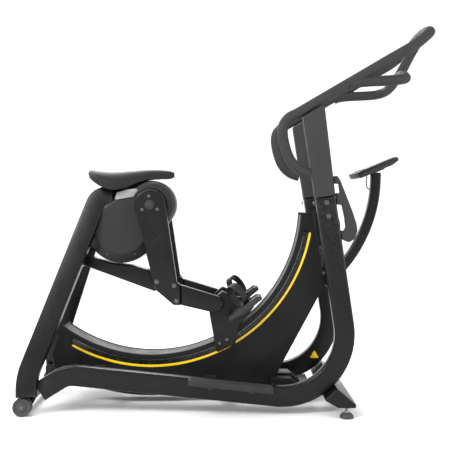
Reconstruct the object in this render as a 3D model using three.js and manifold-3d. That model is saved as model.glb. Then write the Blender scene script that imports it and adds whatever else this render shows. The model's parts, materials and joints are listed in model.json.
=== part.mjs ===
// Seated pendulum stair climber: two welded side frames, splayed rear legs under a saddle, a curved
// guide track, and two swinging pedal arms that hang from one pivot under the saddle.
// Millimetres. +X is forwards, +Y is the user's left, +Z is up. The origin is on the floor, mid width.
import * as THREE from "three";
import { mergeVertices } from "three/addons/utils/BufferGeometryUtils.js";
import Module from "manifold-3d";

const wasm = await Module();
wasm.setup();

// Driving dimensions
const GAP = 0.3; // clearance between pieces that touch
const MID_LENGTH = 14.25; // sets the origin at mid length
const PIVOT = { x: -332, z: 893 }; // swing axis of both arms
const FLY = { x: -467, z: 790 }; // flywheel axis
const LEAN = rad(8.3); // columns lean back
const FALL = rad(5.8); // base tubes fall towards the front
const FRAME_Y = [215, 265]; // side frame tube, inner and outer face
const FRAME_HALF = 43; // half depth of the side frame tube
const BEND = { x: 244, z: 342, r: 267 }; // big front bend of the side frame, centre line
const COLUMN_RUN = 546;
const BASE_RUN = 860;
const LEG_SPLAY = rad(15);
const LEG_TOP = { x: -560, y: 57, z: 928 };
const LEG_HALF = 44;
const LEG_THICK = 50;
const COVER_Y = 67; // half width of the guide track cover
const COVER_WALL = 12;
const TRACK_R = 675; // running surface about the pivot
const SLOT_R = [696, 720]; // guide slot about the pivot
const COVER_R = 860; // lower edge of the cover about the pivot
const COVER_ANGLES = [rad(3), rad(126.7)]; // below the horizontal
const SLOT_ANGLES = [rad(9.5), rad(120.8)];
const SPINE_R = 830; // the inner web of the track
const STAYS = [{ x: -62, z: 112 }, { x: -560, z: 158 }]; // bars that carry the track
const DRIVE_RIM_Y = 62; // housing: half width at the rim
const DRIVE_FACE_Y = 92; // housing: half width at the flat face
const ARM_Y = [108, 150];
const BOSS_R = 68;
const ARM_SINK = rad(76.7); // upper arm below the horizontal
const ROLLER_AT = polar(708, rad(62));
const PEDAL_AT = { x: 90, z: 442 };
const PEDAL_TILT = rad(36);
const PEDAL_Y = [122, 222];
const TUBE_R = 22.5; // handle tubes
const GRIP_Y = 240;
const LEAD_R = 2.5;
const WHEEL = { x: -858, z: 39, r: 39 };
const FOOT_AT = { x: 511, y: 305 };
const DRIVE_PULLEY_R = 70;
const CLUTCH_PULLEY_R = 30;

const SIDES = [{ name: "right", sign: -1 }, { name: "left", sign: 1 }];

const PAINT = paint(0x1b1b1d, 0.45, 0.35);
const COVER_BLACK = paint(0x2a2a2c, 0.5, 0.1);
const HOUSING_GREY = paint(0x3a3a3c, 0.5, 0.1);
const TEXTURED_GREY = paint(0x3c3d3f, 0.8, 0.1);
const RUBBER = paint(0x303032, 0.85, 0);
const STEEL = paint(0x9a9b9d, 0.3, 0.9);
const CUSHION_BLACK = paint(0x1e1e20, 0.45, 0);
const GLASS = paint(0x08090b, 0.1, 0);
const STRAP_BLACK = paint(0x202022, 0.7, 0);

function rad(degrees) {
  return (degrees * Math.PI) / 180;
}

function paint(color, roughness, metalness) {
  return new THREE.MeshStandardMaterial({ color, roughness, metalness });
}

// A point at radius r and at an angle below the horizontal, about the pivot.
function polar(r, angle) {
  return { x: PIVOT.x + r * Math.cos(angle), z: PIVOT.z - r * Math.sin(angle) };
}

// ---- geometry helpers ------------------------------------------------------------------------

function solidOf(geometry) {
  const bare = geometry.clone();
  bare.deleteAttribute("normal");
  bare.deleteAttribute("uv");
  const merged = mergeVertices(bare, 1e-3);
  return new wasm.Manifold(new wasm.Mesh({
    numProp: 3,
    vertProperties: new Float32Array(merged.attributes.position.array),
    triVerts: new Uint32Array(merged.index.array),
  }));
}

function geometryOf(solid) {
  const mesh = solid.getMesh();
  const geometry = new THREE.BufferGeometry();
  geometry.setAttribute("position", new THREE.BufferAttribute(mesh.vertProperties, 3));
  geometry.setIndex(new THREE.BufferAttribute(mesh.triVerts, 1));
  geometry.computeVertexNormals();
  return geometry;
}

const join = (...solids) => solids.reduce((sum, one) => sum.add(one));
const cut = (solid, ...tools) => tools.reduce((rest, tool) => rest.subtract(tool), solid);

const machine = new THREE.Group();

function place(name, piece, material, parent = machine) {
  const geometry = piece.isBufferGeometry ? piece : geometryOf(piece);
  const mesh = new THREE.Mesh(geometry, material);
  mesh.name = name;
  parent.add(mesh);
}

// An outline in X and Z, extruded across the machine between two Y values, with broken edges.
function slab(shape, yA, yB, { edge = 0, arcs = 12 } = {}) {
  const [low, high] = [Math.min(yA, yB), Math.max(yA, yB)];
  const geometry = new THREE.ExtrudeGeometry(shape, {
    depth: high - low - 2 * edge,
    curveSegments: arcs,
    bevelEnabled: edge > 0,
    bevelThickness: edge,
    bevelSize: edge,
    bevelOffset: -edge,
    bevelSegments: 1,
  });
  geometry.rotateX(Math.PI / 2);
  geometry.translate(0, high - edge, 0);
  return geometry;
}

const outline = (points) => new THREE.Shape(points.map(([x, z]) => new THREE.Vector2(x, z)));

// Walks a centre line from a start point and heading. A step is { run } or { turn, radius, parts }.
function walk(start, heading, steps) {
  const stations = [{ x: start.x, z: start.z, heading }];
  for (const step of steps) {
    const parts = step.parts ?? 1;
    for (let part = 0; part < parts; part += 1) {
      const last = stations.at(-1);
      const turn = (step.turn ?? 0) / parts;
      const length = step.run ?? 2 * step.radius * Math.sin(Math.abs(turn) / 2);
      const course = last.heading + turn / 2;
      stations.push({
        x: last.x + length * Math.cos(course),
        z: last.z + length * Math.sin(course),
        heading: last.heading + turn,
      });
    }
  }
  return stations;
}

// The outline of a band of constant half width along a walked centre line.
function band(stations, half) {
  const edge = (sign) => stations.map(({ x, z, heading }) => [
    x - sign * half * Math.sin(heading),
    z + sign * half * Math.cos(heading),
  ]);
  return outline([...edge(1), ...edge(-1).reverse()]);
}

// A band between two radii and two angles about the pivot.
function arcBand(rInner, rOuter, [from, to]) {
  const shape = new THREE.Shape();
  shape.absarc(PIVOT.x, PIVOT.z, rOuter, -from, -to, true);
  shape.absarc(PIVOT.x, PIVOT.z, rInner, -to, -from, false);
  return shape;
}

// The outline of a belt round two wheels: the flywheel's and the pivot's.
function beltOutline(rFly, rPivot) {
  const dx = PIVOT.x - FLY.x;
  const dz = PIVOT.z - FLY.z;
  const along = Math.atan2(dz, dx);
  const open = Math.acos((rFly - rPivot) / Math.hypot(dx, dz));
  const shape = new THREE.Shape();
  shape.absarc(PIVOT.x, PIVOT.z, rPivot, along - open, along + open, false);
  shape.absarc(FLY.x, FLY.z, rFly, along + open, along - open + 2 * Math.PI, false);
  return shape;
}

// A closed skin over a row of rings of equal length, each a list of [x, y, z].
function skin(rings) {
  const count = rings[0].length;
  const positions = rings.flat(2);
  const index = [];
  for (let ring = 0; ring + 1 < rings.length; ring += 1) {
    for (let k = 0; k < count; k += 1) {
      const a = ring * count + k;
      const b = ring * count + ((k + 1) % count);
      index.push(a, b, b + count, a, b + count, a + count);
    }
  }
  const flat = (ring, u, v) => ring.map((p) => new THREE.Vector2(p[u], p[v]));
  const spread = (ring, u) => Math.max(...ring.map((p) => p[u])) - Math.min(...ring.map((p) => p[u]));
  const first = rings[0];
  const [u, v] = spread(first, 0) < 1 ? [1, 2] : [0, 2];
  const face = flat(first, u, v);
  const caps = THREE.ShapeUtils.triangulateShape(face, []);
  const turnsLeft = THREE.ShapeUtils.area(face) > 0;
  const lastStart = (rings.length - 1) * count;
  for (const [a, p, q] of caps) {
    const [b, c] = turnsLeft ? [p, q] : [q, p];
    index.push(a, c, b, lastStart + a, lastStart + b, lastStart + c);
  }
  const geometry = new THREE.BufferGeometry();
  geometry.setAttribute("position", new THREE.Float32BufferAttribute(positions, 3));
  geometry.setIndex(index);
  return facingOut(geometry);
}

// Turns a closed surface's triangles to face outwards if its volume comes out negative.
function facingOut(geometry) {
  const p = geometry.attributes.position;
  const index = geometry.index.array;
  const corner = (i) => new THREE.Vector3().fromBufferAttribute(p, index[i]);
  let volume = 0;
  for (let i = 0; i < index.length; i += 3) {
    volume += corner(i).dot(corner(i + 1).cross(corner(i + 2)));
  }
  if (volume < 0) {
    for (let i = 0; i < index.length; i += 3) {
      [index[i + 1], index[i + 2]] = [index[i + 2], index[i + 1]];
    }
  }
  geometry.computeVertexNormals();
  return geometry;
}

// A turned piece about an axis along Y. The profile is a list of [radius, distance from mid plane].
function turned(profile, centre, sign = 1, sides = 32) {
  const points = profile.map(([r, y]) => new THREE.Vector2(r, y));
  const geometry = new THREE.LatheGeometry(points, sides);
  if (sign < 0) {
    geometry.rotateX(Math.PI);
  }
  geometry.translate(centre.x, 0, centre.z);
  const bare = geometry.clone();
  bare.deleteAttribute("normal");
  bare.deleteAttribute("uv");
  return facingOut(withoutSlivers(mergeVertices(bare, 1e-3)));
}

function withoutSlivers(geometry) {
  const kept = [];
  const index = geometry.index.array;
  for (let i = 0; i < index.length; i += 3) {
    const [a, b, c] = index.slice(i, i + 3);
    if (a !== b && b !== c && c !== a) {
      kept.push(a, b, c);
    }
  }
  geometry.setIndex(kept);
  return geometry;
}

// A plain round bar along Y between two Y values.
function bar(radius, yA, yB, centre, sides = 24) {
  const geometry = new THREE.CylinderGeometry(radius, radius, Math.abs(yB - yA), sides);
  geometry.translate(centre.x, (yA + yB) / 2, centre.z);
  return geometry;
}

function block(x, y, z) {
  const geometry = new THREE.BoxGeometry(x[1] - x[0], y[1] - y[0], z[1] - z[0]);
  geometry.translate((x[0] + x[1]) / 2, (y[0] + y[1]) / 2, (z[0] + z[1]) / 2);
  return geometry;
}

// A round tube along a smooth route of [x, y, z] points.
function tube(points, radius, steps, quarters = 5) {
  const route = new THREE.CatmullRomCurve3(points.map((p) => new THREE.Vector3(...p)), false, "centripetal");
  const section = new THREE.Shape();
  section.absarc(0, 0, radius, 0, 2 * Math.PI, false);
  return new THREE.ExtrudeGeometry(section, {
    steps, extrudePath: route, curveSegments: quarters, bevelEnabled: false,
  });
}

const span = (sign, [a, b]) => (sign < 0 ? [-b, -a] : [a, b]);

// ---- side frames -----------------------------------------------------------------------------

// One tube: a leaning column, the big front bend, the long base and a short drop to the rear leg.
function frameLine() {
  const top = {
    x: BEND.x + BEND.r * Math.cos(LEAN) - COLUMN_RUN * Math.sin(LEAN),
    z: BEND.z + BEND.r * Math.sin(LEAN) + COLUMN_RUN * Math.cos(LEAN),
  };
  return walk(top, LEAN - Math.PI / 2, [
    { run: COLUMN_RUN },
    { turn: -(Math.PI / 2 + FALL + LEAN), radius: BEND.r, parts: 20 },
    { run: BASE_RUN },
    { turn: rad(38), radius: 113, parts: 4 },
    { run: 92 },
  ]);
}

function legSolid(sign, clearance) {
  const stations = walk({ x: -278, z: -880 }, rad(94), [
    { run: 30 },
    { turn: rad(-23), radius: 260, parts: 5 },
    { run: 756 },
    { turn: rad(-66), radius: 50, parts: 6 },
    { run: 30 },
  ]);
  const half = LEG_THICK / 2 + clearance;
  const plate = slab(band(stations, LEG_HALF + clearance), -half, half, { edge: 9 });
  plate.rotateX(sign * LEG_SPLAY);
  plate.translate(LEG_TOP.x, sign * LEG_TOP.y, LEG_TOP.z);
  return solidOf(plate);
}

const wheelRoom = solidOf(block([-1000, -700], [-400, 400], [-120, 2 * WHEEL.r + 5]));
const legTools = SIDES.map(({ sign }) => legSolid(sign, 0.5));
for (const { name, sign } of SIDES) {
  const frame = slab(band(frameLine(), FRAME_HALF), ...span(sign, FRAME_Y), { edge: 9 });
  place(`${name}_side_frame`, cut(solidOf(frame), ...legTools), PAINT);
  place(`${name}_rear_leg`, cut(legSolid(sign, 0), wheelRoom), PAINT);
}

// ---- cross members ---------------------------------------------------------------------------

const seatBeamShape = outline([[-612, 938], [-592, 962], [-430, 966], [-430, 918], [-606, 916]]);
const seatBeam = cut(solidOf(slab(seatBeamShape, -40, 40, { edge: 4 })), ...legTools);
place("seat_beam", seatBeam, PAINT);

const braceShape = outline([[-652, 670], [-520, 628], [-430, 618], [-350, 597], [-312, 558], [-306, 506], [-320, 498],
  [-652, 620]]);
const braceBar = solidOf(slab(braceShape, -37, 37, { edge: 5 }));
const legTie = solidOf(slab(outline([[-700, 606], [-650, 606], [-636, 656], [-686, 656]]), -150, 150));
place("under_brace", cut(join(braceBar, legTie), ...legTools), PAINT);

const tieX = 480;
const columnInside = FRAME_Y[0] - GAP;
place("front_cross_tube", block([tieX - 28, tieX + 28], [-columnInside, columnInside], [526, 580]), PAINT);

const footShape = outline([[470, 125], [548, 60], [546, 45], [474, 45], [415, 78]]);
const footBeam = slab(footShape, -FOOT_AT.y - 22, FOOT_AT.y + 22, { edge: 3 });
const footBolts = SIDES.map(({ sign }) => (
  solidOf(bar(9, sign * (FOOT_AT.y + 20), sign * (FOOT_AT.y + 28), { x: 486, z: 90 }, 6))));
place("front_foot_beam", join(solidOf(footBeam), ...footBolts), PAINT);

// ---- feet and wheels -------------------------------------------------------------------------

for (const { name, sign } of SIDES) {
  const profile = [[0, 0], [27, 0], [29, 3], [29, 10], [20, 22], [9, 26], [6, 28], [6, 44.6], [0, 44.6]];
  const foot = turned(profile, { x: 0, z: 0 }, 1, 28);
  foot.rotateX(Math.PI / 2);
  foot.translate(FOOT_AT.x, sign * FOOT_AT.y, 0);
  place(`${name}_levelling_foot`, foot, RUBBER);

  const tyre = [[9, 259], [34, 259], [39, 264], [39, 291], [34, 297], [24, 297], [20, 293], [9, 293]];
  place(`${name}_wheel`, turned([...tyre, tyre[0]], WHEEL, sign), RUBBER);
}

const axleBar = solidOf(bar(8.5, -302, 302, WHEEL, 20));
const axleTube = solidOf(bar(17, -238, 238, WHEEL, 20));
const lugShape = outline([[-880, 22], [-838, 22], [-812, 60], [-812, 108], [-880, 108]]);
const lugs = SIDES.map(({ sign }) => solidOf(slab(lugShape, ...span(sign, [228, 240]), { edge: 2 })));
place("wheel_axle", cut(join(axleBar, axleTube, ...lugs), ...legTools), PAINT);

// ---- steps -----------------------------------------------------------------------------------

const stepLine = walk({ x: -156, z: 151 }, -FALL, [{ run: 360 }]);
for (const { name, sign } of SIDES) {
  const tread = solidOf(slab(band(stepLine, 13), ...span(sign, [FRAME_Y[1] + GAP, 326]), { edge: 5 }));
  const bosses = [-62, 112].map((x) => (
    solidOf(bar(11, sign * (FRAME_Y[1] + GAP), sign * 300, { x, z: 138.5 - 0.1016 * (x + 156) - 4 }, 16))));
  place(`${name}_step`, join(tread, ...bosses), RUBBER);
}

// ---- guide track -----------------------------------------------------------------------------

// The cover's outline: running edge, a leaning rear edge, a round belly and a front toe.
function coverOutline(rInner) {
  const [from, to] = COVER_ANGLES;
  const belly = [rad(120.5), rad(78)];
  const shape = new THREE.Shape();
  shape.absarc(PIVOT.x, PIVOT.z, rInner, -to, -from, false);
  shape.lineTo(400, 868);
  shape.lineTo(404, 812);
  shape.lineTo(451, 533);
  shape.lineTo(250, 159);
  shape.lineTo(203, 66);
  shape.lineTo(20, 58);
  shape.absarc(PIVOT.x, PIVOT.z, COVER_R, -belly[1], -belly[0], true);
  shape.lineTo(-784, 213);
  return shape;
}

// Two bars run from frame to frame through the cover and carry the track's spine.
function stayBars(clearance) {
  const end = FRAME_Y[0] - GAP;
  return STAYS.map(({ x, z }) => solidOf(block(
    [x - 25 - clearance, x + 25 + clearance], [-end, end], [z - 15 - clearance, z + 15 + clearance])));
}

const slotCut = arcBand(SLOT_R[0], SLOT_R[1], SLOT_ANGLES);
const channelTop = TRACK_R + 1;
for (const { name, sign } of SIDES) {
  const faceY = span(sign, [COVER_Y - COVER_WALL, COVER_Y]);
  const panel = solidOf(slab(coverOutline(TRACK_R), ...faceY, { edge: 2, arcs: 20 }));
  const slot = solidOf(slab(slotCut, ...span(sign, [COVER_Y - COVER_WALL - 5, COVER_Y + 5]), { arcs: 20 }));
  place(`${name}_track_cover`, cut(panel, slot, ...stayBars(GAP), ...legTools), COVER_BLACK);
}

const channelY = COVER_Y - COVER_WALL - GAP;
const channel = solidOf(slab(arcBand(channelTop, channelTop + 8, [rad(4), rad(126)]), -channelY, channelY,
  { arcs: 20 }));
const spine = solidOf(slab(arcBand(channelTop + 7, SPINE_R, [rad(14), rad(122)]), -16, 16, { arcs: 20 }));
place("track_channel", cut(join(channel, spine, ...stayBars(0)), ...legTools), STEEL);

// ---- drive unit ------------------------------------------------------------------------------

const ringOf = (rFly, rPivot, y) => (
  beltOutline(rFly, rPivot).extractPoints(12).shape.slice(0, -1).map(({ x, y: z }) => [x, y, z]));

function driveBody(sign, inset) {
  const low = inset ? -6 : 0.2;
  return solidOf(skin([
    ringOf(160 - inset, 109 - inset, sign * low),
    ringOf(160 - inset, 109 - inset, sign * (DRIVE_RIM_Y - inset / 2)),
    ringOf(118 - inset, 98 - inset, sign * (DRIVE_FACE_Y - inset)),
  ]));
}

const beamTool = solidOf(slab(seatBeamShape, -41, 41));
for (const { name, sign } of SIDES) {
  const hubHole = solidOf(bar(40, sign * 70, sign * 110, PIVOT, 32));
  const shell = cut(driveBody(sign, 0), driveBody(sign, 4), hubHole, beamTool, ...legTools);
  const parts = shell.decompose().sort((a, b) => b.volume() - a.volume());
  place(`${name}_drive_cover`, parts[0], HOUSING_GREY);
}

const shaft = solidOf(bar(15, -146, 146, PIVOT, 24));
const idlerPin = solidOf(new THREE.CylinderGeometry(5.5, 5.5, 40, 16).rotateZ(Math.PI / 2)
  .translate(PIVOT.x - 24, 0, PIVOT.z));
place("pivot_shaft", join(shaft, idlerPin), STEEL);

const idlerProfile = [[6, 17.5], [16.6, 17.5], [29, 30], [29, 38], [6, 38], [6, 17.5]];
const idler = turned(idlerProfile, { x: 0, z: 0 }, 1, 28);
idler.rotateZ(Math.PI / 2);
idler.translate(PIVOT.x, 0, PIVOT.z);
place("reversing_gear", idler, STEEL);

const wheelProfile = [[16, -12], [34, -12], [34, -5], [104, -5], [104, -12], [122, -12],
  [122, 12], [104, 12], [104, 5], [34, 5], [34, 12], [16, 12], [16, -12]];
place("flywheel", turned(wheelProfile, FLY, 1, 40), STEEL);
place("flywheel_axle", bar(8, -72, 72, FLY, 20), STEEL);

const magnetShape = new THREE.Shape();
magnetShape.absarc(FLY.x, FLY.z, 143, rad(205), rad(255), false);
magnetShape.absarc(FLY.x, FLY.z, 126, rad(255), rad(205), true);
place("magnet_brake", slab(magnetShape, -20, 20, { arcs: 10 }), STEEL);

const plateShape = beltOutline(143, 52);
const plates = SIDES.map(({ sign }) => solidOf(slab(plateShape, ...span(sign, [60, 66]), { arcs: 10 })));
const plateBores = [solidOf(bar(37, -80, 80, PIVOT, 28)), solidOf(bar(8 + GAP, -80, 80, FLY, 20))];
const tieBars = [rad(300), rad(190)].map((angle) => (
  solidOf(bar(5, -63, 63, { x: FLY.x + 133 * Math.cos(angle), z: FLY.z + 133 * Math.sin(angle) }, 12))));
for (const { name, sign } of SIDES) {
  const belt = cut(
    solidOf(slab(beltOutline(CLUTCH_PULLEY_R + 4, DRIVE_PULLEY_R + 4), ...span(sign, [42, 54]), { arcs: 10 })),
    solidOf(slab(beltOutline(CLUTCH_PULLEY_R + GAP, DRIVE_PULLEY_R + GAP), ...span(sign, [30, 66]),
      { arcs: 20 })));
  place(`${name}_belt`, belt, RUBBER);
  const clutch = [[8.3, 40], [30, 40], [30, 56], [8.3, 56], [8.3, 40]];
  place(`${name}_clutch_pulley`, turned(clutch, FLY, sign), STEEL);
}
place("drive_frame", cut(join(...plates, ...tieBars), ...plateBores, beamTool, ...legTools), STEEL);

// ---- saddle ----------------------------------------------------------------------------------

// Stations from tail to nose: [x, half width, crown height, height of the side's lower edge].
const SADDLE_STATIONS = [
  [-618, 60, 1053, 1036], [-604, 96, 1054, 1012], [-575, 124, 1051, 989], [-535, 137, 1047, 968],
  [-490, 136, 1046, 960], [-445, 118, 1048, 970], [-400, 92, 1051, 990], [-350, 68, 1053, 1006],
  [-300, 50, 1053, 1010], [-255, 36, 1048, 1011], [-232, 20, 1040, 1018],
];

// An arched section: over the crown outside, and back under it inside.
function saddleRing([x, half, crown, low], outer, inner, steps = 10) {
  const arch = (inset) => Array.from({ length: steps + 1 }, (_, k) => {
    const across = -Math.cos((Math.PI * k) / steps);
    const rise = (1 - Math.abs(across) ** 3.2) * (crown - low - inset);
    return [x, across * (half - inset), low + rise];
  });
  return [...arch(outer), ...arch(inner).reverse()];
}

place("saddle_cushion", skin(SADDLE_STATIONS.map((s) => saddleRing(s, 0, 13))), CUSHION_BLACK);
place("saddle_pan", skin(SADDLE_STATIONS.slice(1, -1).map((s) => saddleRing(s, 15, 20))), HOUSING_GREY);
const postShape = outline([[-560, 966.4], [-470, 967.4], [-480, 1020], [-550, 1020]]);
place("saddle_bracket", slab(postShape, -26, 26, { edge: 2 }), PAINT);

// ---- handlebars ------------------------------------------------------------------------------

const MAIN_RISE = 0.584; // slope of the main handle tubes
const mainZ = (x) => 1262 + MAIN_RISE * (x - 270);
function handleRoute(sign) {
  const y = sign * GRIP_Y;
  return [
    [364, y, 1029], [330, y, 1040], [300, y, 1060], [274, y, 1096], [256, y, 1148], [247, y, 1200],
    [252, y, 1238], [276, y, 1268], [310, y, mainZ(310)], [400, y, mainZ(400)], [560, y, mainZ(560)],
    [720, y, mainZ(720)], [815, y, mainZ(815)], [862, sign * 226, 1618], [892, sign * 188, 1646],
    [901, sign * 110, 1664], [903, sign * 40, 1671], [903, -sign * 2, 1672],
  ];
}

function gripRoute(sign) {
  const y = sign * GRIP_Y;
  return [
    [520, y, 1402], [560, y, 1416], [610, y, 1422], [680, y, 1425], [740, sign * 238, 1430],
    [776, sign * 212, 1439], [794, sign * 150, 1455], [800, sign * 70, 1476], [800, 0, 1484],
  ];
}

const handleTools = SIDES.map(({ sign }) => solidOf(tube(handleRoute(sign), TUBE_R + 0.6, 36)));
for (const { name, sign } of SIDES) {
  const sleeveShape = outline([[384, 924], [472, 936], [424, 1324], [331, 1270]]);
  const sleeve = solidOf(slab(sleeveShape, ...span(sign, [212, 268]), { edge: 6 }));
  place(`${name}_mast_sleeve`, cut(sleeve, ...handleTools), TEXTURED_GREY);
  const midCut = solidOf(block([800, 1000], [-GAP / 2, GAP / 2], [1500, 1800]));
  const halves = cut(solidOf(tube(handleRoute(sign), TUBE_R, 36)), midCut).decompose();
  const half = halves.sort((a, b) => b.volume() - a.volume())[0];
  place(`${name}_handlebar`, half, TEXTURED_GREY);

  const hand = outline([[464, 1016], [468.5, 984], [486, 984], [491, 944], [474, 944], [478, 895],
    [500, 893], [512, 836], [516, 798], [508, 783], [494.5, 783], [500, 745], [530, 733], [554, 748],
    [566, 783], [562, 812], [545, 865], [520, 930], [492, 1000], [480, 1018]]);
  place(`${name}_lift_handle`, slab(hand, ...span(sign, [224, 256]), { edge: 3 }), TEXTURED_GREY);
}
const strut = solidOf(tube([[800, 0, 1484], [845, 0, 1570], [901, 0, 1665]], TUBE_R, 8));
const grips = SIDES.map(({ sign }) => solidOf(tube(gripRoute(sign), TUBE_R, 18)));
place("lower_handlebar", cut(join(strut, ...grips), ...handleTools), TEXTURED_GREY);

// ---- console ---------------------------------------------------------------------------------

const CONSOLE_TILT = rad(22.8);
const CONSOLE_AT = { x: 682, z: 1058 };
function consolePlate(half, thick, lift, y, edge) {
  const dx = Math.cos(CONSOLE_TILT);
  const dz = Math.sin(CONSOLE_TILT);
  const start = { x: CONSOLE_AT.x - half * dx - lift * dz, z: CONSOLE_AT.z - half * dz + lift * dx };
  return slab(band(walk(start, CONSOLE_TILT, [{ run: 2 * half }]), thick / 2), -y, y, { edge });
}
place("console_body", consolePlate(96, 26, 0, 130, 6), HOUSING_GREY);
place("console_screen", consolePlate(82, 4, 15.4, 116, 1), GLASS);
const armLine = walk({ x: 692, z: 1032 }, rad(-92), [
  { run: 30 }, { turn: rad(-40), radius: 640, parts: 10 }, { run: 40 },
]);
const consoleArm = solidOf(slab(band(armLine, 22), -24, 24, { edge: 5 }));
const consoleTool = solidOf(consolePlate(99, 26 + 2 * GAP, 0, 134, 0));
const tieTool = solidOf(block([tieX - 28.3, tieX + 28.3], [-200, 200], [525.7, 580.3]));
place("console_arm", cut(consoleArm, consoleTool, tieTool), PAINT);

// The console's lead: down from its underside and into the back of its arm.
const leadRoute = [[653, 0, 1029.6], [652, 0, 1018], [650, 0, 1004], [650, 0, 990], [652, 0, 977],
  [657, 0, 967], [665.2, 0, 963]];
place("console_lead", tube(leadRoute, LEAD_R, 14, 4), RUBBER);

// ---- pedal arms ------------------------------------------------------------------------------

for (const { name, sign } of SIDES) {
  const arm = new THREE.Group();
  machine.add(arm);
  const armY = span(sign, ARM_Y);

  const upper = new THREE.Shape();
  upper.absarc(PIVOT.x, PIVOT.z, BOSS_R, Math.PI / 2 - ARM_SINK, Math.PI * 1.5 - ARM_SINK, false);
  upper.lineTo(-319, 541);
  upper.lineTo(-306, 518);
  upper.lineTo(-226, 451);
  upper.lineTo(-195, 451);
  upper.lineTo(-200, 543);
  upper.lineTo(-211, 549);
  const upperSolid = solidOf(slab(upper, ...armY, { edge: 4, arcs: 20 }));
  place(`${name}_upper_arm`, cut(upperSolid, solidOf(bar(15 + GAP, -200, 200, PIVOT))), PAINT, arm);

  const lower = outline([[-199.4, 541], [-194.4, 451], [-54, 418], [-20, 423], [-4, 455], [-20, 486]]);
  place(`${name}_lower_arm`, slab(lower, ...span(sign, [110, 148]), { edge: 4 }), PAINT, arm);

  const at = (r, degrees) => {
    const p = polar(r, rad(degrees));
    return [p.x, p.z];
  };
  const foot = outline([at(505, 57), at(548, 61.5), at(722, 66), at(726, 58.5), at(668, 54), at(650, 44.5),
    at(600, 43.5), at(560, 47), at(500, 50.5)]);
  const bracket = solidOf(slab(foot, ...span(sign, [74, 109.7]), { edge: 2 }));
  const rollerPin = solidOf(bar(6, sign * 50, sign * 90, ROLLER_AT, 16));
  const pedalPin = solidOf(bar(8, sign * 90, sign * (PEDAL_Y[1] + 4), PEDAL_AT, 16));
  place(`${name}_slide_bracket`, join(bracket, rollerPin, pedalPin), PAINT, arm);

  const hubProfile = [[16, 17], [30, 31], [30, 36], [34, 36], [34, 40], [DRIVE_PULLEY_R, 40],
    [DRIVE_PULLEY_R, 56], [34, 56], [34, 107.7], [16, 107.7], [16, 17]];
  place(`${name}_drive_hub`, turned(hubProfile, PIVOT, sign), STEEL, arm);

  const capProfile = [[0, 150.3], [30, 150.3], [30, 152], [22, 152.5], [19, 157], [12, 160.5], [0, 162]];
  place(`${name}_hub_cap`, turned(capProfile, PIVOT, sign, 28), STEEL, arm);

  const roller = [[6.3, 56], [11.5, 56], [11.5, 70], [6.3, 70], [6.3, 56]];
  place(`${name}_guide_roller`, turned(roller, ROLLER_AT, sign, 20), RUBBER, arm);

  const pedalLine = walk(
    { x: PEDAL_AT.x - 88 * Math.cos(PEDAL_TILT), z: PEDAL_AT.z - 88 * Math.sin(PEDAL_TILT) },
    PEDAL_TILT, [{ run: 176 }]);
  const body = solidOf(slab(band(pedalLine, 13), ...span(sign, PEDAL_Y), { edge: 5 }));
  const pinTool = solidOf(bar(8 + GAP, -300, 300, PEDAL_AT, 16));
  place(`${name}_pedal`, cut(body, pinTool), RUBBER, arm);

  const strapRing = (radius, y) => Array.from({ length: 24 }, (_, k) => {
    const angle = (2 * Math.PI * k) / 24;
    return [Math.cos(angle) * radius * 0.82, y, Math.sin(angle) * radius];
  });
  const strap = cut(solidOf(skin([strapRing(56, -20), strapRing(56, 20)])),
    solidOf(skin([strapRing(49, -30), strapRing(49, 30)])));
  const strapShape = geometryOf(strap);
  strapShape.rotateZ(sign * rad(58));
  strapShape.rotateY(-PEDAL_TILT);
  strapShape.translate(PEDAL_AT.x - 6 - 48 * Math.sin(PEDAL_TILT), sign * 172,
    PEDAL_AT.z + 68 * Math.cos(PEDAL_TILT));
  place(`${name}_strap`, cut(solidOf(strapShape), solidOf(slab(band(pedalLine, 13.4), -400, 400))),
    STRAP_BLACK, arm);
}

machine.position.x = -MID_LENGTH;

export default machine;
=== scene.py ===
"""Seated pendulum stair climber: its looks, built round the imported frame.

Lengths are in metres. +X is forwards, +Y is the user's left and +Z is up.
"""
import json
import math

import bpy
import numpy as np
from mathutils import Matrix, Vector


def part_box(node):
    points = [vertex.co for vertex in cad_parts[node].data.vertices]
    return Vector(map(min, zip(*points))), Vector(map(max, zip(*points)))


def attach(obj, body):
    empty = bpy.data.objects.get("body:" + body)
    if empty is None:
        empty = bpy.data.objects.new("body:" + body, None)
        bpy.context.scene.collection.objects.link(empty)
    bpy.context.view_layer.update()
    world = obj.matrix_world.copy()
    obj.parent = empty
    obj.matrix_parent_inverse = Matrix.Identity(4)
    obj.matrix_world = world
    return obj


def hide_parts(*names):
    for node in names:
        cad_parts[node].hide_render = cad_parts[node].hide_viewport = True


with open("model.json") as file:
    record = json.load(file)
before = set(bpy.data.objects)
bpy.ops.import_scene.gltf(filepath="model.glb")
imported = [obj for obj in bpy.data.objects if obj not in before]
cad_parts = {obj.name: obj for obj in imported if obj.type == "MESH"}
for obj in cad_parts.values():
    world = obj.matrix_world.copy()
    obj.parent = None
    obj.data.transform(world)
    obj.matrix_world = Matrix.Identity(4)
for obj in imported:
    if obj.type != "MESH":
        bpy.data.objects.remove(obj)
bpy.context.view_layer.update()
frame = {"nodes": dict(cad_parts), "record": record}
SIDES = (("right", -1), ("left", 1))


def middle(node):
    """The centre of a CAD node's box."""
    low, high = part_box(node)
    return (np.array(low) + np.array(high)) / 2


PIVOT = middle("right_hub_cap")[[0, 2]]  # swing axis, as X and Z
FLY = middle("flywheel")[[0, 2]]
WHEEL = middle("right_wheel")[[0, 2]]
FOOT = middle("right_levelling_foot")
MID = PIVOT[0] + 0.332  # X of the drawing's zero


def at(x, z):
    """A point of the side drawing, in millimetres from its zero, as metres in the frame."""
    return np.array([MID + x / 1000, z / 1000])


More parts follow.
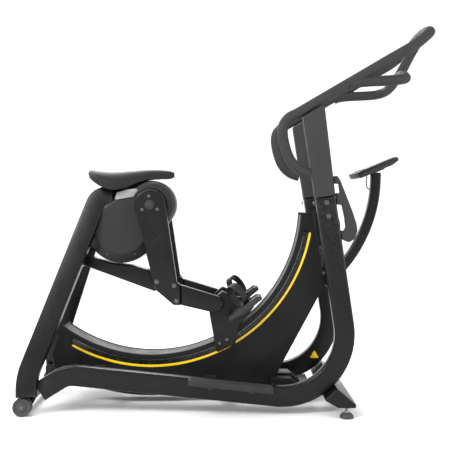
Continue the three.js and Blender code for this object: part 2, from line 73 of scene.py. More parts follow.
def polar(r, degrees):
    """A point at r metres and at an angle below the horizontal, about the pivot."""
    a = np.radians(degrees)
    return np.stack([PIVOT[0] + r * np.cos(a), PIVOT[1] - r * np.sin(a)], -1)


# ---- camera ----------------------------------------------------------------------------------

FOCAL = 761 / 450 * 36
EYE = (MID, -3.5, 0.9145)
camera_data = bpy.data.cameras.new("camera")
camera_data.lens = FOCAL
camera_data.sensor_width = 36
camera_data.shift_y = -0.0556
camera = bpy.data.objects.new("camera", camera_data)
camera.location = EYE
camera.rotation_euler = (math.pi / 2, 0, 0)
bpy.context.scene.collection.objects.link(camera)
bpy.context.scene.camera = camera


# ---- shader maths ----------------------------------------------------------------------------

class Value:
    """A shader socket that takes part in Python sums."""

    def __init__(self, finish, socket):
        self.finish = finish
        self.socket = socket

    def _with(self, operation, *others, swap=False):
        inputs = [self, *others]
        if swap:
            inputs.reverse()
        return self.finish.node("ShaderNodeMath", {"operation": operation}, dict(enumerate(inputs)))

    def __add__(self, other):
        return self._with("ADD", other)

    __radd__ = __add__

    def __sub__(self, other):
        return self._with("SUBTRACT", other)

    def __rsub__(self, other):
        return self._with("SUBTRACT", other, swap=True)

    def __mul__(self, other):
        return self._with("MULTIPLY", other)

    __rmul__ = __mul__

    def __truediv__(self, other):
        return self._with("DIVIDE", other)

    def __pow__(self, other):
        return self._with("POWER", other)

    def smooth(self, low, high):
        """0 below low, 1 above high, and an eased step between."""
        return self.finish.node("ShaderNodeMapRange", {"interpolation_type": "SMOOTHSTEP"},
                                {"Value": self, "From Min": low, "From Max": high})


class Finish:
    """A material: one Principled shader and the nodes that feed it."""

    def __init__(self, name, **constants):
        self.material = bpy.data.materials.new(name)
        self.material.use_nodes = True
        self.nodes = self.material.node_tree.nodes
        self.nodes.clear()
        self.shader = self.nodes.new("ShaderNodeBsdfPrincipled")
        output = self.nodes.new("ShaderNodeOutputMaterial")
        self.material.node_tree.links.new(self.shader.outputs[0], output.inputs["Surface"])
        for socket, value in constants.items():
            self.shader.inputs[socket.replace("_", " ")].default_value = value

    def node(self, kind, settings, inputs, output=0):
        """Adds a node: its settings first, then the values or links of its sockets."""
        made = self.nodes.new(kind)
        for key, value in settings.items():
            setattr(made, key, value)
        for key, value in inputs.items():
            socket = made.inputs[key]
            if isinstance(value, Value):
                self.material.node_tree.links.new(value.socket, socket)
            else:
                socket.default_value = value
        return Value(self, made.outputs[output])

    def place(self, stretch=(1, 1, 1)):
        """Object coordinates, stretched."""
        where = self.node("ShaderNodeTexCoord", {}, {}, "Object")
        return self.node("ShaderNodeMapping", {}, {"Vector": where, "Scale": stretch})

    def noise(self, scale, detail=4, stretch=(1, 1, 1), roughness=0.55):
        """Cloudy noise on Object coordinates, 0 to 1."""
        return self.node("ShaderNodeTexNoise", {}, {
            "Vector": self.place(stretch), "Scale": scale, "Detail": detail, "Roughness": roughness})

    def cells(self, scale, feature="F1"):
        """Distances of a cell pattern on Object coordinates."""
        return self.node("ShaderNodeTexVoronoi", {"feature": feature},
                         {"Vector": self.place(), "Scale": scale})

    def edges(self):
        """1 on worn convex edges, 0 elsewhere."""
        point = self.node("ShaderNodeNewGeometry", {}, {}, "Pointiness")
        return point.smooth(0.53, 0.62)

    def tint(self, factor, low, high):
        """A colour between low and high."""
        return self.node("ShaderNodeMix", {"data_type": "RGBA"},
                         {0: factor, 6: (*low, 1), 7: (*high, 1)}, 2)

    def layer(self, factor, under, over):
        """A colour laid over another by a factor."""
        return self.node("ShaderNodeMix", {"data_type": "RGBA"}, {0: factor, 6: under, 7: (*over, 1)}, 2)

    def feed(self, **sockets):
        """Links each value to the shader socket of its name."""
        for name, value in sockets.items():
            self.material.node_tree.links.new(value.socket, self.shader.inputs[name.replace("_", " ")])
        return self

    def bump(self, height, strength, distance, under=None):
        """A bump normal of a height, laid over another normal when one is given."""
        inputs = {"Height": height, "Strength": strength, "Distance": distance}
        if under is not None:
            inputs["Normal"] = under
        return self.node("ShaderNodeBump", {}, inputs)


def grey(level, warm=0.0):
    """A grey of that level, a little redder and less blue when warm."""
    return (level * (1 + warm), level, level * (1 - warm))


def coated(name, dark, light, rough, grain, grain_depth, worn, metallic=0.0, coat=0.0, shine=0.2):
    """A painted or moulded skin: cloudy colour, uneven gloss, fine grain and worn edges."""
    f = Finish(name, Metallic=metallic, Coat_Weight=coat, Coat_Roughness=0.25, Specular_IOR_Level=shine)
    cloud = f.noise(5, 3)
    speck = f.noise(grain, 2)
    smear = f.noise(16, 4, (1, 1, 0.35))
    edge = f.edges()
    base = f.tint(cloud * 0.7 + speck * 0.3, dark, light)
    colour = f.layer(edge * 0.55 * f.noise(60, 3).smooth(0.35, 0.7), base, worn)
    gloss = rough[0] + (rough[1] - rough[0]) * smear.smooth(0.3, 0.72) + speck * 0.04
    orange = f.bump(f.noise(90, 2), 0.12, 0.0006)
    f.feed(Base_Color=colour, Roughness=gloss, Normal=f.bump(speck, 0.5, grain_depth, orange))
    return f.material


def steel(name, level, rough):
    """Turned or plated steel: fine scratches and cloudy gloss."""
    f = Finish(name, Metallic=1.0)
    scratch = f.noise(60, 3, (1, 9, 9))
    cloud = f.noise(25, 3)
    f.feed(Base_Color=f.tint(cloud, grey(level * 0.75), grey(level * 1.15)),
           Roughness=rough + scratch * 0.18, Normal=f.bump(scratch, 0.25, 0.0002))
    return f.material


def hide_grain(name):
    """Moulded saddle skin: small leather cells with creases, satin where it is sat on."""
    f = Finish(name, Sheen_Weight=0.04, Sheen_Roughness=0.5, Specular_IOR_Level=0.22)
    cell = f.cells(420, "DISTANCE_TO_EDGE")
    crease = f.noise(70, 4, (1, 1.6, 1))
    cloud = f.noise(9, 3)
    grain = cell.smooth(0.0, 0.16)
    colour = f.tint(cloud * 0.6 + grain * 0.4, grey(0.006), grey(0.013, 0.01))
    worn = f.noise(14, 3).smooth(0.3, 0.7)
    f.feed(Base_Color=colour, Roughness=0.34 + worn * 0.12 + (1 - grain) * 0.08,
           Normal=f.bump(grain, 0.35, 0.0003, f.bump(crease, 0.2, 0.0007)))
    return f.material


def enamel(name, colour, deep):
    """Glossy accent enamel, slightly uneven."""
    f = Finish(name, Coat_Weight=0.3, Coat_Roughness=0.1)
    cloud = f.noise(30, 3)
    edge = f.edges()
    tone = f.layer(edge * 0.3, f.tint(cloud, deep, colour), grey(0.25))
    f.feed(Base_Color=tone, Roughness=0.26 + f.noise(120, 3) * 0.14,
           Normal=f.bump(f.noise(260, 2), 0.1, 0.0002))
    return f.material


def glass(name):
    """Black cover glass with faint finger marks."""
    f = Finish(name, Specular_IOR_Level=0.6, Coat_Weight=0.4, Coat_Roughness=0.05)
    mark = f.noise(22, 5).smooth(0.45, 0.75)
    f.feed(Base_Color=f.tint(mark, grey(0.006), grey(0.012)), Roughness=0.07 + mark * 0.16,
           Normal=f.bump(f.noise(8, 2), 0.03, 0.0004))
    return f.material


BLACK_PAINT = coated("satin_black_paint", grey(0.0035), grey(0.0065), (0.24, 0.36), 700, 0.00012,
                     grey(0.06), coat=0.06)
COVER_BLACK = coated("cover_black", grey(0.004), grey(0.008), (0.36, 0.5), 900, 0.00015, grey(0.06))
HOUSING = coated("housing_grey", grey(0.016), grey(0.026), (0.38, 0.52), 900, 0.00015, grey(0.10))
TEXTURED = coated("textured_grey_paint", grey(0.022), grey(0.038), (0.55, 0.72), 1300, 0.0005, grey(0.12))
TRACK_GREY = coated("track_grey", grey(0.012), grey(0.02), (0.34, 0.5), 500, 0.0001, grey(0.2))
RUBBER = coated("black_rubber", grey(0.010), grey(0.02), (0.6, 0.8), 600, 0.0003, grey(0.04))
STEP_RUBBER = coated("step_rubber", grey(0.020), grey(0.034), (0.55, 0.75), 800, 0.0004, grey(0.07))
WHEEL_RUBBER = coated("wheel_rubber", grey(0.045), grey(0.066), (0.5, 0.7), 600, 0.0003, grey(0.12))
STRAP_RUBBER = coated("strap_rubber", grey(0.010), grey(0.018), (0.42, 0.6), 700, 0.0003, grey(0.07))
PEDAL_PLASTIC = coated("pedal_plastic", grey(0.022), grey(0.034), (0.42, 0.6), 900, 0.0003, grey(0.11))
SLOT_BLACK = coated("slot_gloss_black", grey(0.003), grey(0.006), (0.12, 0.24), 500, 0.00005, grey(0.03),
                    coat=0.3)
SADDLE_SKIN = hide_grain("saddle_vinyl")
STEEL = steel("plain_steel", 0.42, 0.28)
DARK_STEEL = steel("blackened_steel", 0.14, 0.3)
YELLOW = enamel("accent_yellow", (0.90, 0.60, 0.0), (0.80, 0.50, 0.0))
SCREEN = glass("screen_glass")


# ---- mesh making -----------------------------------------------------------------------------

def piece(name, points, faces, material, body="root", slot=None, replaces=(), smooth=True):
    """One finished mesh: joined, shaded, painted and riding on its body."""
    mesh = bpy.data.meshes.new(name)
    mesh.from_pydata(np.asarray(points, float), [], [tuple(map(int, f)) for f in faces])
    mesh.validate()
    mesh.materials.append(material)
    mesh.polygons.foreach_set("use_smooth", [smooth] * len(mesh.polygons))
    if smooth:
        mesh.set_sharp_from_angle(angle=math.radians(32))
    made = bpy.data.objects.new(name, mesh)
    bpy.context.scene.collection.objects.link(made)
    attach(made, body)
    if replaces:
        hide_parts(*replaces)
    return made


def grid_faces(rows, columns, loop_rows=False, loop_columns=True, start=0):
    """Quads over a grid of points stored row by row."""
    r = np.arange(rows if loop_rows else rows - 1)
    c = np.arange(columns if loop_columns else columns - 1)
    r, c = np.meshgrid(r, c, indexing="ij")
    up, on = (r + 1) % rows, (c + 1) % columns
    quads = np.stack([r * columns + c, r * columns + on, up * columns + on, up * columns + c], -1)
    return (quads.reshape(-1, 4) + start).tolist()


def outward(points, faces):
    """Turns every face over if the closed surface's volume comes out negative."""
    p = np.asarray(points, float)
    volume = 0.0
    for f in faces:
        fan = np.array([[f[0], f[k], f[k + 1]] for k in range(1, len(f) - 1)])
        a, b, c = p[fan[:, 0]], p[fan[:, 1]], p[fan[:, 2]]
        volume += float(np.einsum("ij,ij->", a, np.cross(b, c)))
    return faces if volume > 0 else [list(reversed(f)) for f in faces]


class Build:
    """Gathers closed surfaces into one piece."""

    def __init__(self):
        self.points = []
        self.faces = []
        self.count = 0

    def add(self, points, faces):
        """Joins more points and faces to the piece."""
        points = np.asarray(points, float).reshape(-1, 3)
        turned = outward(points, faces)
        self.faces += [[k + self.count for k in f] for f in turned]
        self.points.append(points)
        self.count += len(points)
        return self

    def done(self, name, material, **where):
        """Makes the mesh, with its finish, body and replaced nodes; the slot is not used."""
        return piece(name, np.concatenate(self.points), self.faces, material, **where)


def loft(rings, caps=True, closed=False):
    """A closed surface over rings of equal length: rings are rows, and end rings are capped."""
    rings = np.asarray(rings, float)
    rows, columns = rings.shape[:2]
    faces = grid_faces(rows, columns, loop_rows=closed)
    if caps and not closed:
        faces.append(list(range(columns))[::-1])
        faces.append([(rows - 1) * columns + k for k in range(columns)])
    return rings.reshape(-1, 3), faces


def fillet(corners, radius, steps=5):
    """A closed outline whose corners are arcs of a given radius, tangent to both sides."""
    corners = [np.asarray(c, float) for c in corners]
    radii = radius if np.ndim(radius) else [radius] * len(corners)
    out = []
    for k, corner in enumerate(corners):
        before = corners[k - 1] - corner
        after = corners[(k + 1) % len(corners)] - corner
        room = 0.48 * min(np.linalg.norm(before), np.linalg.norm(after))
        before, after = before / np.linalg.norm(before), after / np.linalg.norm(after)
        half = math.acos(np.clip(before @ after, -1, 1)) / 2
        if radii[k] <= 0 or half > math.radians(88):
            out.append(corner)
            continue
        reach = min(radii[k] / math.tan(half), room)
        r = reach * math.tan(half)
        axis = before + after
        centre = corner + axis / np.linalg.norm(axis) * r / math.sin(half)
        first, last = corner + before * reach - centre, corner + after * reach - centre
        sweep = math.atan2(first[0] * last[1] - first[1] * last[0], first @ last)
        turn = np.linspace(0, sweep, steps + 1)
        out += list(centre + np.stack([first[0] * np.cos(turn) - first[1] * np.sin(turn),
                                       first[0] * np.sin(turn) + first[1] * np.cos(turn)], -1))
    return np.array(out)


def offset(outline, inset):
    """The outline moved inwards along its mitred corner normals."""
    outline = np.asarray(outline, float)
    x, z = outline.T
    area = 0.5 * np.sum(x * np.roll(z, -1) - np.roll(x, -1) * z)
    back = outline - np.roll(outline, 1, 0)
    ahead = np.roll(outline, -1, 0) - outline
    back /= np.maximum(np.linalg.norm(back, axis=1, keepdims=True), 1e-9)
    ahead /= np.maximum(np.linalg.norm(ahead, axis=1, keepdims=True), 1e-9)
    normal = np.stack([-(back + ahead)[:, 1], (back + ahead)[:, 0]], -1)
    normal /= np.maximum(np.linalg.norm(normal, axis=1, keepdims=True), 1e-9)
    across = np.stack([-back[:, 1], back[:, 0]], -1)
    mitre = 1 / np.clip(np.sum(normal * across, 1), 0.45, 1)
    return outline + normal * (mitre * inset * np.sign(area))[:, None]


def edge_rows(low, high, edge, steps=3):
    """Rows across a plate as (Y, inset): a quarter round at each face."""
    a = np.linspace(0, math.pi / 2, steps + 1)
    rows = [(low + edge * (1 - math.cos(t)), edge * (1 - math.sin(t))) for t in a]
    return rows + [(low + high - y, inset) for y, inset in rows[::-1]]


def plate(outline, low, high, edge=0.004, hole=None, tilt=None):
    """A flat plate across Y with quarter-round edges, and a hole of as many points as the outline."""
    low, high = min(low, high), max(low, high)
    rows = edge_rows(low, high, edge)
    rings = [np.insert(offset(outline, inset), 1, y, axis=1) for y, inset in rows]
    if hole is not None:
        rings += [np.insert(offset(hole, -inset), 1, y, axis=1) for y, inset in rows[::-1]]
    points, faces = loft(rings, caps=hole is None, closed=hole is not None)
    return (points if tilt is None else tilt(points)), faces


def smooth_path(points, per=10):
    """A centripetal Catmull-Rom curve through the points, as many samples between each pair."""
    p = np.asarray(points, float)
    p = np.vstack([2 * p[0] - p[1], p, 2 * p[-1] - p[-2]])
    knots = np.concatenate([[0], np.cumsum(np.linalg.norm(np.diff(p, axis=0), axis=1) ** 0.5)])
    out = []
    for k in range(1, len(p) - 2):
        t = np.linspace(knots[k], knots[k + 1], per, endpoint=False)[:, None]
        t0, t1, t2, t3 = knots[k - 1:k + 3]
        a1 = (t1 - t) / (t1 - t0) * p[k - 1] + (t - t0) / (t1 - t0) * p[k]
        a2 = (t2 - t) / (t2 - t1) * p[k] + (t - t1) / (t2 - t1) * p[k + 1]
        a3 = (t3 - t) / (t3 - t2) * p[k + 1] + (t - t2) / (t3 - t2) * p[k + 2]
        b1 = (t2 - t) / (t2 - t0) * a1 + (t - t0) / (t2 - t0) * a2
        b2 = (t3 - t) / (t3 - t1) * a2 + (t - t1) / (t3 - t1) * a3
        out.append((t2 - t) / (t2 - t1) * b1 + (t - t1) / (t2 - t1) * b2)
    return np.vstack([*out, p[-2:-1]])


def carry(path, section, start_side=(0, 1, 0), scale=None, closed=False):
    """A section, as (side, up) points, carried along a path with no twist."""
    path = np.asarray(path, float)
    tangent = np.gradient(path, axis=0)
    if closed:
        tangent = np.roll(path, -1, 0) - np.roll(path, 1, 0)
    tangent /= np.linalg.norm(tangent, axis=1, keepdims=True)
    side = np.array(start_side, float)
    sides = []
    for t in tangent:
        side = side - t * (side @ t)
        side = side / np.linalg.norm(side)
        sides.append(side)
    sides = np.array(sides)
    ups = np.cross(tangent, sides)
    scale = np.ones(len(path)) if scale is None else np.asarray(scale)
    section = np.asarray(section, float)
    rings = (path[:, None] + sides[:, None] * (section[None, :, :1] * scale[:, None, None])
             + ups[:, None] * (section[None, :, 1:] * scale[:, None, None]))
    return loft(rings, closed=closed)


def circle(radius, count=24):
    """Points at even angles round a circle."""
    a = np.linspace(0, 2 * math.pi, count, endpoint=False)
    return np.stack([radius * np.cos(a), radius * np.sin(a)], -1)


def box_section(half_side, half_up, corner, steps=5):
    """A rectangle with round corners."""
    return fillet([(half_side, half_up), (-half_side, half_up), (-half_side, -half_up),
                   (half_side, -half_up)], corner, steps)


def turned(profile, centre, sign=1, count=64, axis="y"):
    """A profile of (radius, distance) points turned about an axis; a zero radius closes an end."""
    profile = np.asarray(profile, float)
    a = np.linspace(0, 2 * math.pi, count, endpoint=False)
    r, d = profile[:, 0, None], profile[:, 1, None]
    across, along, up = r * np.cos(a), np.broadcast_to(d, (len(profile), count)), r * np.sin(a)
    if axis == "y":
        rings = np.stack([centre[0] + across, sign * along, centre[1] + up], -1)
    else:
        rings = np.stack([centre[0] + across, centre[1] + up, centre[2] + sign * along], -1)
    loop = bool(np.allclose(profile[0], profile[-1]))
    if loop:
        return loft(rings[:-1], closed=True)
    return loft(rings)


def soft_profile(points, radius, steps=4):
    """An open or closed profile of (radius, distance) points with its corners rounded."""
    points = [np.asarray(p, float) for p in points]
    closed = np.allclose(points[0], points[-1])
    if closed:
        ring = fillet(points[:-1], radius, steps)
        return np.vstack([ring, ring[:1]])
    out = [points[0]]
    for before, corner, after in zip(points, points[1:], points[2:]):
        out += list(fillet([before, corner, after], [0, radius, 0], steps)[1:-1])
    return np.vstack([*out, points[-1]])


def walk(start, heading, steps):
    """Stations (x, z, heading) along a centre line. A step is (run,) or (turn, radius, parts)."""
    stations = [(*start, heading)]
    for step in steps:
        turn, radius, parts = step if len(step) == 3 else (0, 0, 1)
        for _ in range(parts):
            x, z, course = stations[-1]
            part = turn / parts
            length = step[0] if len(step) == 1 else 2 * radius * math.sin(abs(part) / 2)
            stations.append((x + length * math.cos(course + part / 2),
                             z + length * math.sin(course + part / 2), course + part))
    return np.array(stations)


def hex_bolt(build, centre, axis, radius, height):
    """A button head with a washer under it: a dome of rings, its axis along Y or any unit vector."""
    axis = np.asarray(axis, float)
    helper = np.array([1.0, 0, 0]) if abs(axis[0]) < 0.8 else np.array([0, 0, 1.0])
    u = np.cross(axis, helper)
    u /= np.linalg.norm(u)
    v = np.cross(axis, u)
    profile = [(1.35, -0.1), (1.35, 0.14), (1.28, 0.18), (1.0, 0.2), (0.97, 0.62), (0.8, 0.92), (0.52, 1.0),
               (0.44, 0.98), (0.42, 0.55), (0.0, 0.5)]
    a = np.linspace(0, 2 * math.pi, 24, endpoint=False)
    rings = []
    for r, h in profile:
        socket = 1 - 0.1 * (r < 0.46) * np.abs(np.cos(3 * a))
        ring = (radius * max(r, 0.001) * socket)[:, None]
        spoke = np.cos(a)[:, None] * u + np.sin(a)[:, None] * v
        rings.append(np.asarray(centre) + axis * h * height + ring * spoke)
    build.add(*loft(rings))


# ---- cord ------------------------------------------------------------------------------------

LEAD_R = 0.0025
LEAD_ROUTE = [(653, 1029.6), (652, 1018), (650, 1004), (650, 990), (652, 977), (657, 967), (665.2, 963)]


def lead_points():
    """The lead's route as a smooth curve on the mid plane."""
    flat = np.array([at(x, z) for x, z in LEAD_ROUTE])
    return smooth_path(np.insert(flat, 1, 0.0, axis=1), 8)


def console_lead():
    """A round sheath carried along the lead's route."""
    route = lead_points()
    build = Build().add(*carry(route, circle(LEAD_R, 16)))
    lead = build.done("console_lead_sheath", RUBBER, slot="black_rubber", replaces=["console_lead"])


# ---- side frames and legs --------------------------------------------------------------------

LEAN = math.radians(8.3)
FALL = math.radians(5.8)
FRAME_IN, FRAME_OUT = 0.215, 0.265
TUBE_SIDE, TUBE_UP = 0.025, 0.043
FRAME_CORNER = 0.011


BEND_CENTRE = at(244, 342)
BEND_R = 0.267
COLUMN_RUN, BASE_RUN, TAIL_RUN = 0.546, 0.86, 0.092
TAIL_TURN, TAIL_R = math.radians(38), 0.113


def frame_line():
    """Column, big front bend, base, and the drop to the rear leg."""
    centre, r, run = BEND_CENTRE, BEND_R, COLUMN_RUN
    top = centre + np.array([r * math.cos(LEAN) - run * math.sin(LEAN),
                             r * math.sin(LEAN) + run * math.cos(LEAN)])
    return walk(top, LEAN - math.pi / 2, [
        (run,), (-(math.pi / 2 + FALL + LEAN), r, 48), (BASE_RUN,), (TAIL_TURN, TAIL_R, 12), (TAIL_RUN,)])


def flat_band(stations, half_side, half_up, corner, y):
    """A round-cornered box section carried along a walked line at a Y."""
    path = np.stack([stations[:, 0], np.full(len(stations), y), stations[:, 1]], -1)
    heading = stations[:, 2]
    section = box_section(half_side, half_up, corner)
    up = np.stack([-np.sin(heading), np.zeros_like(heading), np.cos(heading)], -1)
    side = np.array([0, 1.0, 0])
    rings = path[:, None] + side * section[None, :, :1] + up[:, None] * section[None, :, 1:]
    return loft(rings)


def side_frames():
    """A round-cornered box tube carried along the frame line on each side."""
    for name, sign in SIDES:
        y = sign * (FRAME_IN + FRAME_OUT) / 2
        build = Build().add(*flat_band(frame_line(), TUBE_SIDE, TUBE_UP, FRAME_CORNER, y))
        build.done(f"{name}_side_frame_tube", BLACK_PAINT, slot="satin_black_paint",
                   replaces=[f"{name}_side_frame"])


LEG_SPLAY = math.radians(15)


def rear_legs():
    """Each leg is walked in its own plane, which is then tilted outwards about its top."""
    top = np.array([*at(-560, 928)])
    line = walk((top[0] - 0.278, -0.878), math.radians(94), [
        (0.028,), (math.radians(-23), 0.26, 12), (0.756,), (math.radians(-66), 0.05, 14), (0.03,)])
    for name, sign in SIDES:
        points, faces = flat_band(line, 0.025, 0.044, 0.011, 0)
        tilt = sign * LEG_SPLAY
        x, y, z = points.T
        placed = np.stack([x, sign * 0.057 + y * math.cos(tilt) - z * math.sin(tilt),
                           top[1] + y * math.sin(tilt) + z * math.cos(tilt)], -1)
        placed[:, 2] = np.maximum(placed[:, 2], 2 * WHEEL[1] + 0.005)
        Build().add(placed, faces).done(f"{name}_rear_leg_tube", BLACK_PAINT, slot="satin_black_paint",
                                        replaces=[f"{name}_rear_leg"])


# ---- cross members ---------------------------------------------------------------------------

def drawn(points):
    """Corners of the side drawing, in millimetres, as an outline in the frame."""
    return [at(x, z) for x, z in points]


def cross_members():
    """The bars that join the two sides: flat plates across Y with rounded edges."""
    beam = fillet(drawn([(-612, 938), (-592, 962), (-430, 966), (-430, 918), (-606, 916)]), 0.008)
    Build().add(*plate(beam, -0.04, 0.04, 0.005)).done(
        "seat_beam_box", BLACK_PAINT, slot="satin_black_paint", replaces=["seat_beam"])

    brace = fillet(drawn([(-652, 670), (-520, 628), (-430, 618), (-350, 597), (-312, 558), (-306, 506),
                          (-320, 498), (-652, 620)]), 0.01)
    tie = fillet(drawn([(-700, 606), (-650, 606), (-636, 656), (-686, 656)]), 0.009)
    build = Build().add(*plate(brace, -0.037, 0.037, 0.007)).add(*plate(tie, -0.112, 0.112, 0.004))
    build.done("under_brace_tubes", BLACK_PAINT, slot="satin_black_paint", replaces=["under_brace"])

    low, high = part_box("front_cross_tube")
    ends = high[1]
    tube = fillet([(high[0], high[2]), (low[0], high[2]), (low[0], low[2]), (high[0], low[2])], 0.008)
    Build().add(*plate(tube, -ends, ends, 0.001)).done(
        "front_cross_box", BLACK_PAINT, slot="satin_black_paint", replaces=["front_cross_tube"])

    foot = fillet(drawn([(470, 125), (548, 60), (546, 45), (474, 45), (415, 78)]), 0.006)
    reach = -FOOT[1] + 0.022
    build = Build().add(*plate(foot, -reach, reach, 0.004))
    for sign in (-1, 1):
        spot = at(492, 88)
        hex_bolt(build, (spot[0], sign * (reach - 0.0005), spot[1]), (0, sign, 0), 0.0075, 0.0055)
    build.done("front_foot_box", BLACK_PAINT, slot="satin_black_paint", replaces=["front_foot_beam"])

    toe = fillet(drawn([(205, 126), (298, 126), (340, 92), (334, 86), (296, 119), (205, 119)]), 0.003)
    Build().add(*plate(toe, -0.03, 0.03, 0.002)).done("toe_bracket", TRACK_GREY, slot="track_grey")
    web = fillet(drawn([(205, 117), (295, 117), (333, 84), (392, 98), (330, 50), (205, 50)]), 0.004)
    Build().add(*plate(web, -0.1, 0.1, 0.003)).done("toe_web", COVER_BLACK, slot="cover_black")


def wheels():
    """Rubber tyres with a tread groove on a cross axle with two lugs."""
    low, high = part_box("right_wheel")
    inner, outer = -high[1], -low[1]
    radius = (high[2] - low[2]) / 2
    for name, sign in SIDES:
        tyre = soft_profile([(0.010, inner + 0.002), (0.030, inner + 0.002), (0.031, inner), (radius, inner),
                             (radius, inner + 0.017), (radius - 0.0015, inner + 0.018),
                             (radius - 0.0015, inner + 0.020), (radius, inner + 0.021),
                             (radius, outer - 0.001), (0.030, outer - 0.001),
                             (0.028, outer - 0.005), (0.020, outer - 0.005),
                             (0.018, outer - 0.001), (0.010, outer - 0.001), (0.010, inner + 0.002)], 0.0015)
        Build().add(*turned(tyre, WHEEL, sign)).done(
            f"{name}_wheel_tyre", WHEEL_RUBBER, body=f"{name}_wheel", slot="wheel_rubber",
            replaces=[f"{name}_wheel"])
        screw = Build()
        hex_bolt(screw, (WHEEL[0], sign * (outer - 0.001), WHEEL[1]), (0, sign, 0), 0.0075, 0.005)
        screw.done(f"{name}_wheel_screw", DARK_STEEL, body=f"{name}_wheel", slot="plain_steel")

    build = Build()
    ends = inner - 0.019
    build.add(*turned([(0.0, -ends), (0.017, -ends), (0.017, ends), (0.0, ends)], WHEEL))
    build.add(*turned([(0.0, -outer + 0.008), (0.0085, -outer + 0.008), (0.0085, outer - 0.008),
                       (0.0, outer - 0.008)], WHEEL))
    lug = fillet(drawn([(-880, 22), (-838, 22), (-812, 60), (-812, 108), (-880, 108)]), 0.012)
    for sign in (-1, 1):
        build.add(*plate(lug, sign * 0.228, sign * 0.240, 0.002))
    build.done("wheel_axle_bar", BLACK_PAINT, slot="satin_black_paint", replaces=["wheel_axle"])


def levelling_feet():
    """A moulded pad, a lock nut and a threaded stem of ring grooves."""
    for name, sign in SIDES:
        centre = (FOOT[0], sign * abs(FOOT[1]), 0.0)
        pad = soft_profile([(0.0, 0.0), (0.027, 0.0), (0.029, 0.003), (0.029, 0.009), (0.021, 0.019),
                            (0.012, 0.023), (0.0, 0.024)], 0.0015)
        Build().add(*turned(pad, centre, 1, axis="z")).done(
            f"{name}_foot_pad", WHEEL_RUBBER, body=f"{name}_levelling_foot", slot="wheel_rubber",
            replaces=[f"{name}_levelling_foot"])
        pitch = np.arange(0.028, 0.0445, 0.0011)
        thread = [(0.0, 0.0235), (0.0095, 0.0235), (0.0095, 0.0275), (0.006, 0.0278)]
        thread += [(0.0060 - 0.0006 * (k % 2), z) for k, z in enumerate(pitch)]
        Build().add(*turned([*thread, (0.0, 0.0445)], centre, 1, 32, axis="z")).done(
            f"{name}_foot_stem", STEEL, body=f"{name}_levelling_foot", slot="plain_steel")


def foot_steps():
    """A sloping shelf on each base tube, five moulded ribs along its top and two bosses beneath."""
    line = walk(at(-156, 151), -FALL, [(0.36,)])
    for name, sign in SIDES:
        low, high = 0.2653, 0.326
        outline = fillet([p[:2] + 0.013 * np.array([-math.sin(p[2]), math.cos(p[2])]) * s
                          for s, row in ((1, line), (-1, line[::-1])) for p in row], 0.006)
        build = Build().add(*plate(outline, sign * low, sign * high, 0.005))
        along = np.array([math.cos(FALL), -math.sin(FALL)])
        up = np.array([math.sin(FALL), math.cos(FALL)])
        start = line[0, :2] + up * 0.0125 + along * 0.012
        for k in range(6):
            y = sign * (low + 0.009 + k * 0.0085)
            ends = np.array([start, start + along * 0.336])
            path = np.linspace(ends[0], ends[1], 12)
            rib = np.insert(path, 1, y, axis=1)
            build.add(*carry(rib, box_section(0.0022, 0.0022, 0.0012, 2)))
        for x in (-62, 112):
            boss = at(x, 134.5 - 0.1016 * (x + 156))
            profile = soft_profile([(0, 0.0), (0.011, 0.0), (0.011, 0.034), (0, 0.034)], 0.002)
            build.add(*turned(profile + np.array([0, low]), boss, sign, 28))
        build.done(f"{name}_foot_step", STEP_RUBBER, slot="step_rubber", replaces=[f"{name}_step"])


# ---- guide track -----------------------------------------------------------------------------

TRACK_R = 0.675
SLOT_IN, SLOT_OUT = 0.696, 0.720
SLOT_ENDS = (9.5, 120.8)
COVER_R = 0.860
FACE_Y = 0.067
TRIM_R = 0.7265
TRIM_ENDS = (9.8, 119.5)


def cover_reach(angles):
    """The cover's outer edge as a radius for each angle: toe, belly arc and back edge."""
    front = [(342, 858), (400, 868), (404, 812), (451, 533), (250, 159), (203, 66), (20, 58)]
    corners = np.array([*drawn(front), *polar(COVER_R, np.linspace(78, 120.5, 40)), at(-784, 213),
                        polar(TRACK_R, 126.7)])
    step = np.linspace(0, 1, 60, endpoint=False)[:, None]
    dense = np.concatenate([a + (b - a) * step for a, b in zip(corners, corners[1:])] + [corners[-1:]])
    away = dense - PIVOT
    bearing = np.degrees(np.arctan2(-away[:, 1], away[:, 0]))
    reach = np.linalg.norm(away, axis=1)
    order = np.argsort(bearing)
    return np.interp(angles, bearing[order], reach[order])


# Each crease of a side face: where it starts and ends, the slope beyond it, and the most it sinks.
FACE_CREASES = (((361, 367), (135, 164), 0.16, 0.012), ((330, 700), (-100, 235), 0.05, 0.004))


def facet(points):
    """How far the side face sinks beyond its two creases, in metres, at X and Z points."""
    sink = np.zeros(points.shape[:-1])
    for start, end, slope, most in FACE_CREASES:
        a, b = at(*start), at(*end)
        along = (b - a) / np.linalg.norm(b - a)
        across = np.array([-along[1], along[0]])
        beyond = np.maximum((points - a) @ across, 0)
        sink += most * (1 - np.exp(-slope * beyond / most))
    return sink


def arc_ring(angles, section):
    """A closed section of (radius, Y) columns carried round the pivot."""
    a = np.radians(angles)[:, None]
    r, y = section[..., 0], section[..., 1]
    return np.stack([PIVOT[0] + r * np.cos(a), np.broadcast_to(y, r.shape), PIVOT[1] - r * np.sin(a)], -1)


def constant_arc(angles, section):
    """One unchanging section carried round the pivot."""
    section = np.asarray(section, float)
    return arc_ring(angles, np.broadcast_to(section, (len(angles), *section.shape)))


